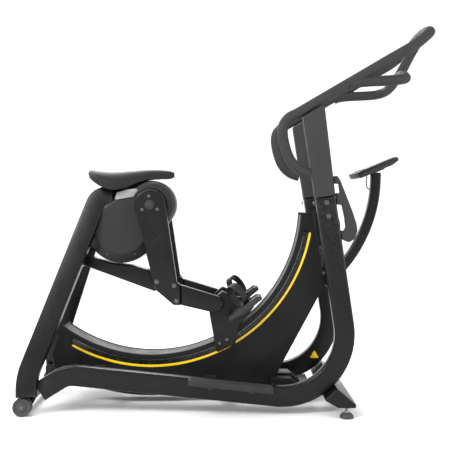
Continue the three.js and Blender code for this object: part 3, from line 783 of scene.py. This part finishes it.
def track_covers():
    """Each side face is a grid of angle and radius: an edge roll, the slot's trough and the outer panel."""
    corners = [3.0, 4.4, 24.7, 52, 60]
    angles = np.unique(np.concatenate([np.linspace(3, 126.6, 300), corners]))
    trough = np.clip((angles - SLOT_ENDS[0]) / 0.35, 0, 1) * np.clip((SLOT_ENDS[1] - angles) / 0.35, 0, 1)
    outer = cover_reach(angles)
    for name, sign in SIDES:
        columns = []
        roll = [(0.008, 0.0555), (0.0012, 0.0555), (0.0, 0.0575), (0.0, 0.0635), (0.0008, 0.0655),
                (0.0028, 0.0667), (0.005, FACE_Y)]
        for dr, y in roll:
            columns.append((np.full_like(angles, TRACK_R + dr), np.full_like(angles, y)))
        dip = 0.0098 * trough
        for r, share in ((SLOT_IN - 0.0012, 0), (SLOT_IN - 0.0002, 0.12), (SLOT_IN, 0.3),
                         (SLOT_IN + 0.0002, 1), (SLOT_OUT - 0.0002, 1),
                         (SLOT_OUT, 0.3), (SLOT_OUT + 0.0002, 0.12),
                         (SLOT_OUT + 0.0012, 0)):
            columns.append((np.full_like(angles, r), FACE_Y - dip * share))
        first = SLOT_OUT + 0.0016
        for share in np.linspace(0, 1, 34):
            r = first + np.maximum(outer - 0.004 - first, 0.0005) * share
            columns.append((r, FACE_Y - facet(polar(r, angles))))
        sink = facet(polar(outer, angles))
        for dr, y in ((-0.0018, 0.0664), (-0.0004, 0.065), (0.0, 0.063), (0.0, 0.0575)):
            columns.append((np.maximum(outer + dr, first), np.minimum(y, FACE_Y - sink)))
        columns.append((np.maximum(outer - 0.001, first), np.full_like(angles, 0.0553 - 0.012)))
        columns.append((np.full_like(angles, TRACK_R + 0.012), np.full_like(angles, 0.0553 - 0.012)))
        section = np.stack([np.stack([r, sign * y], -1) for r, y in columns], 1)
        Build().add(*loft(arc_ring(angles, section))).done(
            f"{name}_track_panel", COVER_BLACK, slot="cover_black", replaces=[f"{name}_track_cover"])

        slot_angles = np.linspace(SLOT_ENDS[0] + 0.4, SLOT_ENDS[1] - 0.4, 240)
        lining = [(SLOT_IN + 0.0004, 0.0571), (SLOT_IN + 0.0004, 0.0577), (SLOT_OUT - 0.0004, 0.0577),
                  (SLOT_OUT - 0.0004, 0.0571)]
        Build().add(*loft(constant_arc(slot_angles, [(r, sign * y) for r, y in lining]))).done(
            f"{name}_slot_lining", SLOT_BLACK, slot="screen_glass")
        rail = circle(0.0011, 10) + np.array([SLOT_IN + 0.0048, 0.0580])
        Build().add(*loft(constant_arc(slot_angles[4:-4], [(r, sign * y) for r, y in rail]))).done(
            f"{name}_slot_rail", STEEL, slot="plain_steel")

        trim_angles = np.linspace(*TRIM_ENDS, 240)
        from_end = np.minimum(trim_angles - TRIM_ENDS[0], TRIM_ENDS[1] - trim_angles)
        ends = np.clip(from_end / 0.6, 0.05, 1) ** 0.5
        line = fillet([(0.0052, 0.0006), (-0.0052, 0.0006), (-0.0052, -0.0012), (0.0052, -0.0012)], 0.0005, 3)
        lift = FACE_Y - facet(polar(TRIM_R, trim_angles)) + 0.0004
        ribbon = np.stack([TRIM_R + line[None, :, 0] * ends[:, None],
                           sign * (line[None, :, 1] * np.ones_like(ends)[:, None] + lift[:, None])], -1)
        Build().add(*loft(arc_ring(trim_angles, ribbon))).done(
            f"{name}_trim_line", YELLOW, slot="accent_yellow")

        marks = Build()
        for bearing in (43.0, 46.5, 49.0):
            short = np.linspace(bearing - 0.12, bearing + 0.12, 4)
            mark = [(0.684, 0.0668), (0.684, 0.0675), (0.6935, 0.0675), (0.6935, 0.0668)]
            marks.add(*loft(constant_arc(short, [(r, sign * y) for r, y in mark])))
        marks.done(f"{name}_track_marks", TRACK_GREY, slot="track_grey")


def track_core():
    """The running strip between the covers, its web, and the two bars that carry it."""
    angles = np.linspace(4, 126, 260)
    wall = [(0.0, -0.0548), (0.0, -0.050), (0.0008, -0.049), (0.0008, 0.049), (0.0, 0.050), (0.0, 0.0548),
            (0.009, 0.0548), (0.009, -0.0548)]
    strip = [(TRACK_R + 0.0022 + dr, y) for dr, y in wall]
    build = Build().add(*loft(constant_arc(angles, strip)))
    web = [(0.684, -0.016), (0.684, 0.016), (0.83, 0.016), (0.83, -0.016)]
    build.add(*loft(constant_arc(np.linspace(14, 122, 120), web)))
    for x, z in ((-62, 112), (-560, 158)):
        stay = fillet(drawn([(x + 25, z + 15), (x - 25, z + 15), (x - 25, z - 15), (x + 25, z - 15)]), 0.004)
        build.add(*plate(stay, -0.2147, 0.2147, 0.001))
    build.done("track_running_strip", TRACK_GREY, slot="track_grey", replaces=["track_channel"])


# ---- drive unit ------------------------------------------------------------------------------

def belt_ring(r_fly, r_pivot, y, count=150):
    """An outline round the flywheel's circle and the pivot's, with straight tangents between."""
    gap = PIVOT - FLY
    along = math.atan2(gap[1], gap[0])
    opening = math.acos((r_fly - r_pivot) / np.linalg.norm(gap))
    a = np.linspace(along - opening, along + opening, count // 3)
    b = np.linspace(along + opening, along - opening + 2 * math.pi, count - count // 3)
    flat = np.vstack([PIVOT + r_pivot * np.stack([np.cos(a), np.sin(a)], -1),
                      FLY + r_fly * np.stack([np.cos(b), np.sin(b)], -1)])
    return np.insert(flat, 1, y, axis=1)


def drive_covers():
    """Two moulded shells: a straight rim, a broad chamfer and a flat face, lofted between belt outlines."""
    stations = [(0.0003, 0.1585, 0.1075), (0.0015, 0.160, 0.109), (0.056, 0.160, 0.109),
                (0.060, 0.1588, 0.1084), (0.063, 0.1558, 0.1068), (0.0868, 0.1218, 0.0990),
                (0.0895, 0.1178, 0.0976), (0.0912, 0.1140, 0.0950), (0.0918, 0.1100, 0.0915)]
    for name, sign in SIDES:
        rings = [belt_ring(rf, rp, sign * y) for y, rf, rp in stations]
        Build().add(*loft(rings)).done(
            f"{name}_drive_shell", HOUSING, slot="housing_grey", replaces=[f"{name}_drive_cover"])
        ring = soft_profile([(0.070, 0.090), (0.0865, 0.090), (0.0865, 0.0955), (0.083, 0.0975),
                             (0.074, 0.0975), (0.070, 0.0955), (0.070, 0.090)], 0.001)
        Build().add(*turned(ring, PIVOT, sign, 96)).done(
            f"{name}_hub_ring", HOUSING, slot="housing_grey")
        screws = Build()
        for turn, reach in ((-62, 0.134), (-118, 0.134), (172, 0.134)):
            a = math.radians(turn)
            spot = FLY + reach * np.array([math.cos(a), math.sin(a)])
            lean = np.array([math.cos(a) * 0.57, sign * 0.82, math.sin(a) * 0.57])
            hex_bolt(screws, (spot[0], sign * 0.0776, spot[1]), lean / np.linalg.norm(lean), 0.0036, 0.0022)
        screws.done(f"{name}_housing_screws", DARK_STEEL, slot="plain_steel")


# ---- saddle ----------------------------------------------------------------------------------

# Tail to nose, in millimetres: X, half width, crown height, lower edge of the side.
SADDLE_LINES = np.array([
    [-618, 60, 1053, 1036], [-604, 96, 1054, 1012], [-575, 124, 1051, 989], [-535, 137, 1047, 968],
    [-490, 136, 1046, 960], [-445, 118, 1048, 970], [-400, 92, 1051, 990], [-350, 68, 1053, 1006],
    [-300, 50, 1053, 1010], [-255, 36, 1048, 1011], [-232, 20, 1040, 1018]], float)


def saddle_stations(trim=0.0, count=90):
    """Smooth curves through the saddle's lines, as rows of X, half width, crown and lower edge."""
    path = smooth_path(SADDLE_LINES[:, [0, 1, 2]], 14)
    edge = smooth_path(SADDLE_LINES[:, [0, 3, 2]], 14)
    x = np.linspace(-617.5 + trim, -232.5 - trim, count)
    return np.stack([x, *(np.interp(x, path[:, 0], path[:, k]) for k in (1, 2)),
                     np.interp(x, edge[:, 0], edge[:, 1])], -1)


def arch_rows(stations, inset, under, steps=44):
    """Closed arch sections: over the crown at one inset, a rolled lip, and back under at another."""
    a = np.linspace(0, math.pi, steps + 1)
    across = -np.cos(a)
    rings = []
    for x, half, crown, low in stations:
        share = (x + 617) / 385
        nose = 1 - np.clip((share - 0.9) / 0.1, 0, 1) ** 2 * 0.35
        height = 1 - np.abs(across) ** (3.0 - 0.6 * share)
        crease_at = 0.56 - 0.42 * share
        crease = 1 - 0.022 * np.exp(-((height - crease_at) / 0.05) ** 2)
        groove = 5.0 * np.exp(-(across * half / 9) ** 2) * np.exp(-((share - 0.45) / 0.28) ** 2)
        top_y = across * (half - inset) * crease * nose
        top_z = low + height * (crown - low - inset) - groove * (inset < 5)
        under_y = across[::-1] * (half - under) * nose
        under_z = low + 1.5 + height[::-1] * (crown - low - under - 1.5)
        y, z = np.concatenate([top_y, under_y]), np.concatenate([top_z, under_z])
        rings.append(np.stack([np.full_like(y, x), y, z], -1))
    rings = np.array(rings)
    flat = at(0, 0)
    return np.stack([flat[0] + rings[..., 0] / 1000, rings[..., 1] / 1000, rings[..., 2] / 1000], -1)


def saddle():
    """A broad tail that narrows to a nose, crowned, with a side crease and a shallow centre channel."""
    stations = saddle_stations()
    cushion = Build().add(*loft(arch_rows(stations, 0, 13))).done(
        "saddle_cushion_skin", SADDLE_SKIN, slot="saddle_vinyl", replaces=["saddle_cushion"])
    inner = saddle_stations(16)
    Build().add(*loft(arch_rows(inner, 14.5, 19))).done(
        "saddle_pan_shell", HOUSING, slot="housing_grey", replaces=["saddle_pan"])
    post = fillet(drawn([(-560, 966.4), (-470, 967.4), (-480, 1020), (-550, 1020)]), 0.006)
    build = Build().add(*plate(post, -0.026, 0.026, 0.003))
    for x in (-530, -500):
        for sign in (-1, 1):
            spot = at(x, 982)
            hex_bolt(build, (spot[0], sign * 0.0255, spot[1]), (0, sign, 0), 0.006, 0.004)
    build.done("saddle_post", BLACK_PAINT, slot="satin_black_paint", replaces=["saddle_bracket"])
    support = fillet(drawn([(-494, 915), (-484, 948), (-440, 962), (-394, 966), (-388, 934)]), 0.005)
    build = Build()
    for sign in (-1, 1):
        build.add(*plate(support, sign * 0.0925, sign * 0.0955, 0.0008))
    build.done("saddle_support_plates", STEEL, slot="plain_steel")


# ---- handlebars ------------------------------------------------------------------------------

TUBE_R = 0.0225
CASTING_IN, CASTING_OUT = 0.212, 0.268
GRIP_Y = 240


def main_z(x):
    """Height of the straight main tube at X, both in millimetres: a line of slope 0.584."""
    return 1262 + 0.584 * (x - 270)


def placed(route):
    """Route points (x, y, z) of the drawing, in millimetres, as metres in the frame."""
    route = np.asarray(route, float)
    return np.stack([MID + route[:, 0] / 1000, route[:, 1] / 1000, route[:, 2] / 1000], -1)


def handle_route(sign):
    """Points along a main tube: up the rear grip, along the slope, and in to the middle."""
    y = sign * GRIP_Y
    return [(364, y, 1029), (330, y, 1040), (300, y, 1060), (274, y, 1096), (256, y, 1148), (247, y, 1200),
            (252, y, 1238), (276, y, 1268), (310, y, main_z(310)), (400, y, main_z(400)),
            (560, y, main_z(560)), (720, y, main_z(720)), (815, y, main_z(815)), (862, sign * 226, 1618),
            (892, sign * 188, 1646), (901, sign * 110, 1664), (903, sign * 40, 1671), (903, 0, 1672)]


def grip_route(sign):
    """Points along a lower handle: along its level grip and in to the middle."""
    y = sign * GRIP_Y
    return [(536, y, 1408), (560, y, 1416), (610, y, 1422), (680, y, 1425), (740, sign * 238, 1430),
            (776, sign * 212, 1439), (794, sign * 150, 1455), (800, sign * 70, 1476), (800, 0, 1484)]


def handlebars():
    """Round tubes carried along the handle routes, and the castings that hold them."""
    section = circle(TUBE_R, 28)
    for name, sign in SIDES:
        path = smooth_path(placed(handle_route(sign)), 12)
        Build().add(*carry(path, section)).done(
            f"{name}_handle_tube", TEXTURED, slot="textured_grey_paint", replaces=[f"{name}_handlebar"])

        # The casting stands on the column's top, so its foot reaches 9 mm below the CAD sleeve's.
        sleeve = fillet(drawn([(385.6, 915.1), (471.2, 927.6), (424, 1324), (331, 1270)]),
                        [0.003, 0.003, 0.012, 0.012])
        build = Build().add(*plate(sleeve, sign * CASTING_IN, sign * CASTING_OUT, 0.009))
        build.done(f"{name}_mast_casting", TEXTURED, slot="textured_grey_paint",
                   replaces=[f"{name}_mast_sleeve"])
        bolts = Build()
        for x, z in ((433, 904), (441, 846)):
            spot = at(x, z)
            hex_bolt(bolts, (spot[0], sign * (FRAME_OUT - 0.0005), spot[1]), (0, sign, 0), 0.0072, 0.005)
        back = at(385, 901)
        rearwards = (-math.cos(LEAN), 0, -math.sin(LEAN))
        hex_bolt(bolts, (back[0] - 0.0035, sign * 0.24, back[1]), rearwards, 0.0065, 0.005)
        bolts.done(f"{name}_column_bolts", DARK_STEEL, slot="plain_steel")
    build = Build()
    for name, sign in SIDES:
        build.add(*carry(smooth_path(placed(grip_route(sign)), 12), section))
    strut = placed([(800, 0, 1484), (823, 0, 1526), (850, 0, 1578), (899, 0, 1662)])
    build.add(*carry(smooth_path(strut, 8), section))
    build.done("lower_handle_tubes", TEXTURED, slot="textured_grey_paint", replaces=["lower_handlebar"])


def lift_handles():
    """A rounded loop with a short rung, open towards the column it is fixed to."""
    corners = [(464, 1016), (468.5, 984), (486, 984), (491, 944), (474, 944), (478, 895), (500, 893),
               (512, 836), (516, 798), (508, 783), (494.5, 783), (500, 745), (530, 733), (554, 748),
               (566, 783), (562, 812), (545, 865), (520, 930), (492, 1000), (480, 1018)]
    rounding = [0, 0, 0.004, 0.004, 0, 0, 0.004, 0.008, 0.007, 0.005, 0, 0, 0.014, 0.014, 0.014,
                0.02, 0.03, 0.03, 0.01, 0.008]
    loop = fillet(drawn(corners), rounding)
    for name, sign in SIDES:
        Build().add(*plate(loop, sign * 0.224, sign * 0.256, 0.0045)).done(
            f"{name}_lift_loop", TEXTURED, slot="textured_grey_paint",
            replaces=[f"{name}_lift_handle"])


# ---- console ---------------------------------------------------------------------------------

TILT = math.radians(22.8)
CONSOLE = (682, 1058)


def on_console(along, up):
    """A point of the console's own section, in metres from its centre."""
    c, s = math.cos(TILT), math.sin(TILT)
    return at(*CONSOLE) + np.array([along * c - up * s, along * s + up * c])


def console():
    """Case, pane, keys and mount as plates across Y, and an arm carried along a walked line."""
    body = fillet([on_console(*p) for p in ((0.096, 0.010), (0.090, 0.0145), (-0.088, 0.0145),
                                            (-0.096, 0.016), (-0.096, -0.006), (-0.088, -0.013),
                                            (0.062, -0.013), (0.096, -0.004))], 0.004)
    Build().add(*plate(body, -0.13, 0.13, 0.007)).done(
        "console_case", HOUSING, slot="housing_grey", replaces=["console_body"])
    pane = fillet([on_console(*p) for p in ((0.082, 0.0170), (-0.080, 0.0170), (-0.080, 0.0135),
                                            (0.082, 0.0135))], 0.001, 3)
    Build().add(*plate(pane, -0.116, 0.116, 0.0012)).done(
        "console_pane", SCREEN, slot="screen_glass", replaces=["console_screen"])
    keys = Build()
    for y in np.linspace(-0.09, 0.09, 6):
        key = fillet([on_console(*p) for p in ((-0.054, 0.0178), (-0.068, 0.0178), (-0.068, 0.0165),
                                               (-0.054, 0.0165))], 0.0005, 2)
        keys.add(*plate(key, y - 0.011, y + 0.011, 0.0006))
    keys.done("console_keys", PEDAL_PLASTIC, slot="pedal_plastic")
    line = walk(at(692.5, 1040), math.radians(-92), [(0.038,), (math.radians(-40), 0.64, 40), (0.040,)])
    build = Build().add(*flat_band(line, 0.024, 0.022, 0.008, 0))
    build.done("console_arm_tube", BLACK_PAINT, slot="satin_black_paint", replaces=["console_arm"])
    cup = fillet([on_console(*p) for p in ((0.045, -0.012), (-0.022, -0.012), (-0.018, -0.020),
                                           (0.040, -0.020))], 0.003)
    Build().add(*plate(cup, -0.034, 0.034, 0.003)).done(
        "console_mount", BLACK_PAINT, slot="satin_black_paint")


# ---- pedal arms ------------------------------------------------------------------------------

ARM_SINK = math.radians(76.7)
ROLLER = polar(0.708, 62)
PEDAL = at(90, 442)
PEDAL_TILT = math.radians(36)


def arm_outline():
    """A round boss about the pivot, two nearly parallel sides and a chamfered elbow."""
    a = np.linspace(math.pi / 2 - ARM_SINK, 1.5 * math.pi - ARM_SINK, 40)
    boss = PIVOT + 0.068 * np.stack([np.cos(a), np.sin(a)], -1)
    elbow = fillet(drawn([(-319, 541), (-306, 518), (-226, 451), (-195, 451), (-200, 543), (-211, 549)]),
                   [0.012, 0.012, 0.012, 0.003, 0.003, 0.003])
    return np.vstack([boss, elbow])


ARM_IN, ARM_OUT = 0.108, 0.150


def swing_arms():
    """Each arm: an upper and a lower box, the elbow's cheek, the slide bracket, its pins and its bolts."""
    for name, sign in SIDES:
        body = f"{name}_arm"
        Build().add(*plate(arm_outline(), sign * ARM_IN, sign * ARM_OUT, 0.006)).done(
            f"{name}_upper_arm_box", BLACK_PAINT, body=body, slot="satin_black_paint",
            replaces=[f"{name}_upper_arm"])
        skin = fillet(drawn([(-349, 686), (-279, 772), (-248, 772), (-216, 562), (-205, 545), (-200, 460),
                             (-228, 458), (-300, 522), (-313, 545)]), 0.006)
        Build().add(*plate(skin, sign * 0.149, sign * 0.1522, 0.0018)).done(
            f"{name}_elbow_cheek", BLACK_PAINT, body=body, slot="satin_black_paint")
        lower = fillet(drawn([(-199.4, 541), (-194.4, 451), (-54, 418), (-20, 423), (-4, 455), (-20, 486)]),
                       [0.003, 0.003, 0.012, 0.016, 0.012, 0.010])
        Build().add(*plate(lower, sign * 0.110, sign * 0.148, 0.006)).done(
            f"{name}_lower_arm_box", BLACK_PAINT, body=body, slot="satin_black_paint",
            replaces=[f"{name}_lower_arm"])
        spots = [(0.505, 57), (0.548, 61.5), (0.722, 66), (0.726, 58.5), (0.668, 54), (0.650, 44.5),
                 (0.600, 43.5), (0.560, 47), (0.500, 50.5)]
        bracket = fillet([polar(*p) for p in spots], 0.008)
        build = Build().add(*plate(bracket, sign * 0.074, sign * 0.1095, 0.004))
        pin = [(0, 0.100), (0.008, 0.100), (0.008, 0.2255), (0.006, 0.2262), (0, 0.2262)]
        build.add(*turned(pin, PEDAL, sign, 28))
        stub = [(0, 0.059), (0.006, 0.059), (0.006, 0.080), (0, 0.080)]
        build.add(*turned(stub, ROLLER, sign, 24))
        build.done(f"{name}_slide_bracket_plate", BLACK_PAINT, body=body, slot="satin_black_paint",
                   replaces=[f"{name}_slide_bracket"])
        wipe = fillet([polar(*p) for p in ((0.676, 62.5), (0.694, 62.8), (0.694, 55.2),
                                           (0.676, 54.8))], 0.003)
        Build().add(*plate(wipe, sign * 0.0685, sign * 0.0745, 0.0015)).done(
            f"{name}_slot_wiper", RUBBER, body=body, slot="black_rubber")

        bolts = Build()
        for x, z in ((-301, 554), (-224, 537), (-214, 470)):
            spot = at(x, z)
            hex_bolt(bolts, (spot[0], sign * 0.1515, spot[1]), (0, sign, 0), 0.0075, 0.0052)
        for turn in (95, 212, 330):
            a = math.radians(turn)
            spot = PIVOT + 0.039 * np.array([math.cos(a), math.sin(a)])
            hex_bolt(bolts, (spot[0], sign * 0.1495, spot[1]), (0, sign, 0), 0.0052, 0.0045)
        for bearing in (63.5, 60.5):
            spot = polar(0.69, bearing)
            hex_bolt(bolts, (spot[0], sign * 0.109, spot[1]), (0, sign, 0), 0.005, 0.004)
        bolts.done(f"{name}_arm_bolts", DARK_STEEL, body=body, slot="plain_steel")
        a = np.linspace(0, math.pi / 2, 12)
        dome = [(0.0, 0.1495), (0.0225, 0.1495), (0.0225, 0.151)]
        dome += [(0.0215 * math.cos(t), 0.1512 + 0.0105 * math.sin(t)) for t in a[:-1]] + [(0.0, 0.1617)]
        Build().add(*turned(dome, PIVOT, sign, 48)).done(
            f"{name}_pivot_dome", TEXTURED, body=body, slot="plain_steel", replaces=[f"{name}_hub_cap"])

        roller = soft_profile([(0.0063, 0.0592), (0.0113, 0.0592), (0.0113, 0.0680), (0.0063, 0.0680),
                               (0.0063, 0.0592)], 0.001)
        Build().add(*turned(roller, ROLLER, sign, 40)).done(
            f"{name}_roller_tyre", RUBBER, body=f"{name}_guide_roller", slot="black_rubber",
            replaces=[f"{name}_guide_roller"])


def pedal_section(points):
    """Points (along, up) of the pedal's own section, in metres, as an outline in the frame."""
    c, s = math.cos(PEDAL_TILT), math.sin(PEDAL_TILT)
    return [PEDAL + np.array([u * c - v * s, u * s + v * c]) for u, v in points]


def pedals():
    """A moulded platform with raised cross ribs, a toe lip and a strap loop."""
    for name, sign in SIDES:
        body = f"{name}_pedal"
        low, high = 0.122, 0.222
        base = fillet(pedal_section([(0.088, 0.004), (0.080, 0.012), (-0.080, 0.012), (-0.088, 0.004),
                                     (-0.084, -0.006), (-0.030, -0.009), (-0.016, -0.0128), (0.016, -0.0128),
                                     (0.030, -0.009), (0.084, -0.006)]), 0.004)
        build = Build().add(*plate(base, sign * low, sign * high, 0.006))
        for along in np.linspace(-0.066, 0.066, 8):
            rib = fillet(pedal_section([(along + 0.0028, 0.0135), (along - 0.0028, 0.0135),
                                        (along - 0.0036, 0.010), (along + 0.0036, 0.010)]), 0.001, 2)
            build.add(*plate(rib, sign * (low + 0.012), sign * (high - 0.012), 0.001))
        rail = fillet(pedal_section([(0.070, 0.0180), (-0.050, 0.0180), (-0.062, 0.010),
                                     (0.082, 0.010)]), 0.004)
        build.add(*plate(rail, sign * (low + 0.001), sign * (low + 0.007), 0.0015))
        build.add(*plate(rail, sign * (high - 0.007), sign * (high - 0.001), 0.0015))
        build.done(f"{name}_pedal_platform", PEDAL_PLASTIC, body=body, slot="pedal_plastic",
                   replaces=[f"{name}_pedal"])

        a = np.linspace(0, 2 * math.pi, 72, endpoint=False)
        rings = []
        for t in a:
            width = 0.0195 - 0.004 * math.cos(t) ** 2
            thick = 0.0034
            section = fillet([(width, thick), (-width, thick), (-width, -thick), (width, -thick)], 0.002, 3)
            core = np.array([math.cos(t) * 0.0525 * 0.82, 0, math.sin(t) * 0.0525])
            out = np.array([math.cos(t) / 0.82, 0, math.sin(t)])
            out /= np.linalg.norm(out)
            rings.append(core + section[:, 1:] * out + section[:, :1] * np.array([0, 1.0, 0]))
        points, faces = loft(rings, closed=True)
        yaw, pitch = sign * math.radians(58), -PEDAL_TILT
        x, y, z = points.T
        x, y = x * math.cos(yaw) - y * math.sin(yaw), x * math.sin(yaw) + y * math.cos(yaw)
        x, z = x * math.cos(pitch) + z * math.sin(pitch), -x * math.sin(pitch) + z * math.cos(pitch)
        spot = PEDAL + np.array([-0.006 - 0.048 * math.sin(PEDAL_TILT), 0.068 * math.cos(PEDAL_TILT)])
        strap = np.stack([spot[0] + x, sign * 0.172 + y, spot[1] + z], -1)
        up = (strap[:, [0, 2]] - PEDAL) @ np.array([-math.sin(PEDAL_TILT), math.cos(PEDAL_TILT)])
        push = np.maximum(0.0125 - up, 0)
        strap[:, 0] -= push * math.sin(PEDAL_TILT)
        strap[:, 2] += push * math.cos(PEDAL_TILT)
        Build().add(strap, faces).done(
            f"{name}_strap_band", STRAP_RUBBER, body=body, slot="strap_rubber", replaces=[f"{name}_strap"])


def hazard_mark():
    """A plain yellow triangle on the inner face of the left frame's bend."""
    centre = at(244, 342) + 0.267 * np.array([math.cos(math.radians(-44)), math.sin(math.radians(-44))])
    corners = [centre + 0.026 * np.array([math.cos(math.radians(t)), math.sin(math.radians(t))])
               for t in (90, 210, 330)]
    Build().add(*plate(fillet(corners, 0.004), 0.2142, 0.2150, 0.0002)).done(
        "hazard_triangle", YELLOW, slot="accent_yellow")


# ---- the machine -----------------------------------------------------------------------------

INNER_FINISH = {
    "plain_steel": STEEL, "black_rubber": RUBBER, "housing_grey": HOUSING, "satin_black_paint": BLACK_PAINT,
}
SLOT_OF = {row["node"]: row["material_slot"] for row in frame["record"]["subparts"]}
for node, made in frame["nodes"].items():
    made.data.materials.clear()
    made.data.materials.append(INNER_FINISH.get(SLOT_OF[node], BLACK_PAINT))

console_lead()
side_frames()
rear_legs()
cross_members()
wheels()
levelling_feet()
foot_steps()
track_covers()
track_core()
drive_covers()
saddle()
handlebars()
lift_handles()
console()
swing_arms()
pedals()
hazard_mark()


# ---- studio ----------------------------------------------------------------------------------

def studio():
    """A pale floor that curves up behind, a bright even sky and three soft panels."""
    finish = Finish("studio_white")
    finish.feed(Base_Color=finish.tint(finish.noise(0.6, 2), grey(0.86), grey(0.9)),
                Roughness=0.7 + finish.noise(3, 2) * 0.1)
    curve_from, curve_r = 3.2, 1.8
    curve = [[curve_from + curve_r * math.sin(t), curve_r - curve_r * math.cos(t)]
             for t in np.linspace(0.1, 1.57, 16)]
    run = np.concatenate([[[-6.0, 0.0], [curve_from, 0.0]], curve, [[curve_from + curve_r, 6.0]]])
    x = np.array([-12.0, 12.0])
    points = [(a, b, c) for b, c in run for a in x]
    faces = [(2 * k, 2 * k + 1, 2 * k + 3, 2 * k + 2) for k in range(len(run) - 1)]
    mesh = bpy.data.meshes.new("studio_sweep")
    mesh.from_pydata(points, [], faces)
    mesh.materials.append(finish.material)
    mesh.polygons.foreach_set("use_smooth", [True] * len(mesh.polygons))
    floor = bpy.data.objects.new("studio_sweep", mesh)
    bpy.context.scene.collection.objects.link(floor)

    world = bpy.data.worlds.new("studio_sky")
    world.use_nodes = True
    world.node_tree.nodes["Background"].inputs[0].default_value = (1, 1, 1, 1)
    world.node_tree.nodes["Background"].inputs[1].default_value = 1.0
    bpy.context.scene.world = world
    bpy.context.scene.view_settings.view_transform = "Standard"
    for name, spot, aim, size, power in (
            ("key_panel", (-2.6, -2.6, 3.2), (0, 0, 0.8), 1.4, 170),
            ("fill_panel", (3.4, -1.8, 1.6), (0, 0, 0.9), 2.0, 60),
            ("back_panel", (-1.0, 2.6, 2.8), (0, 0, 0.9), 2.6, 120)):
        data = bpy.data.lights.new(name, "AREA")
        data.size = size
        data.energy = power
        lamp = bpy.data.objects.new(name, data)
        lamp.location = spot
        away = np.array(aim) - np.array(spot)
        yaw = math.atan2(away[1], away[0]) - math.pi / 2
        pitch = math.acos(np.clip(-away[2] / np.linalg.norm(away), -1, 1))
        lamp.rotation_euler = (pitch, 0, yaw)
        bpy.context.scene.collection.objects.link(lamp)


studio()
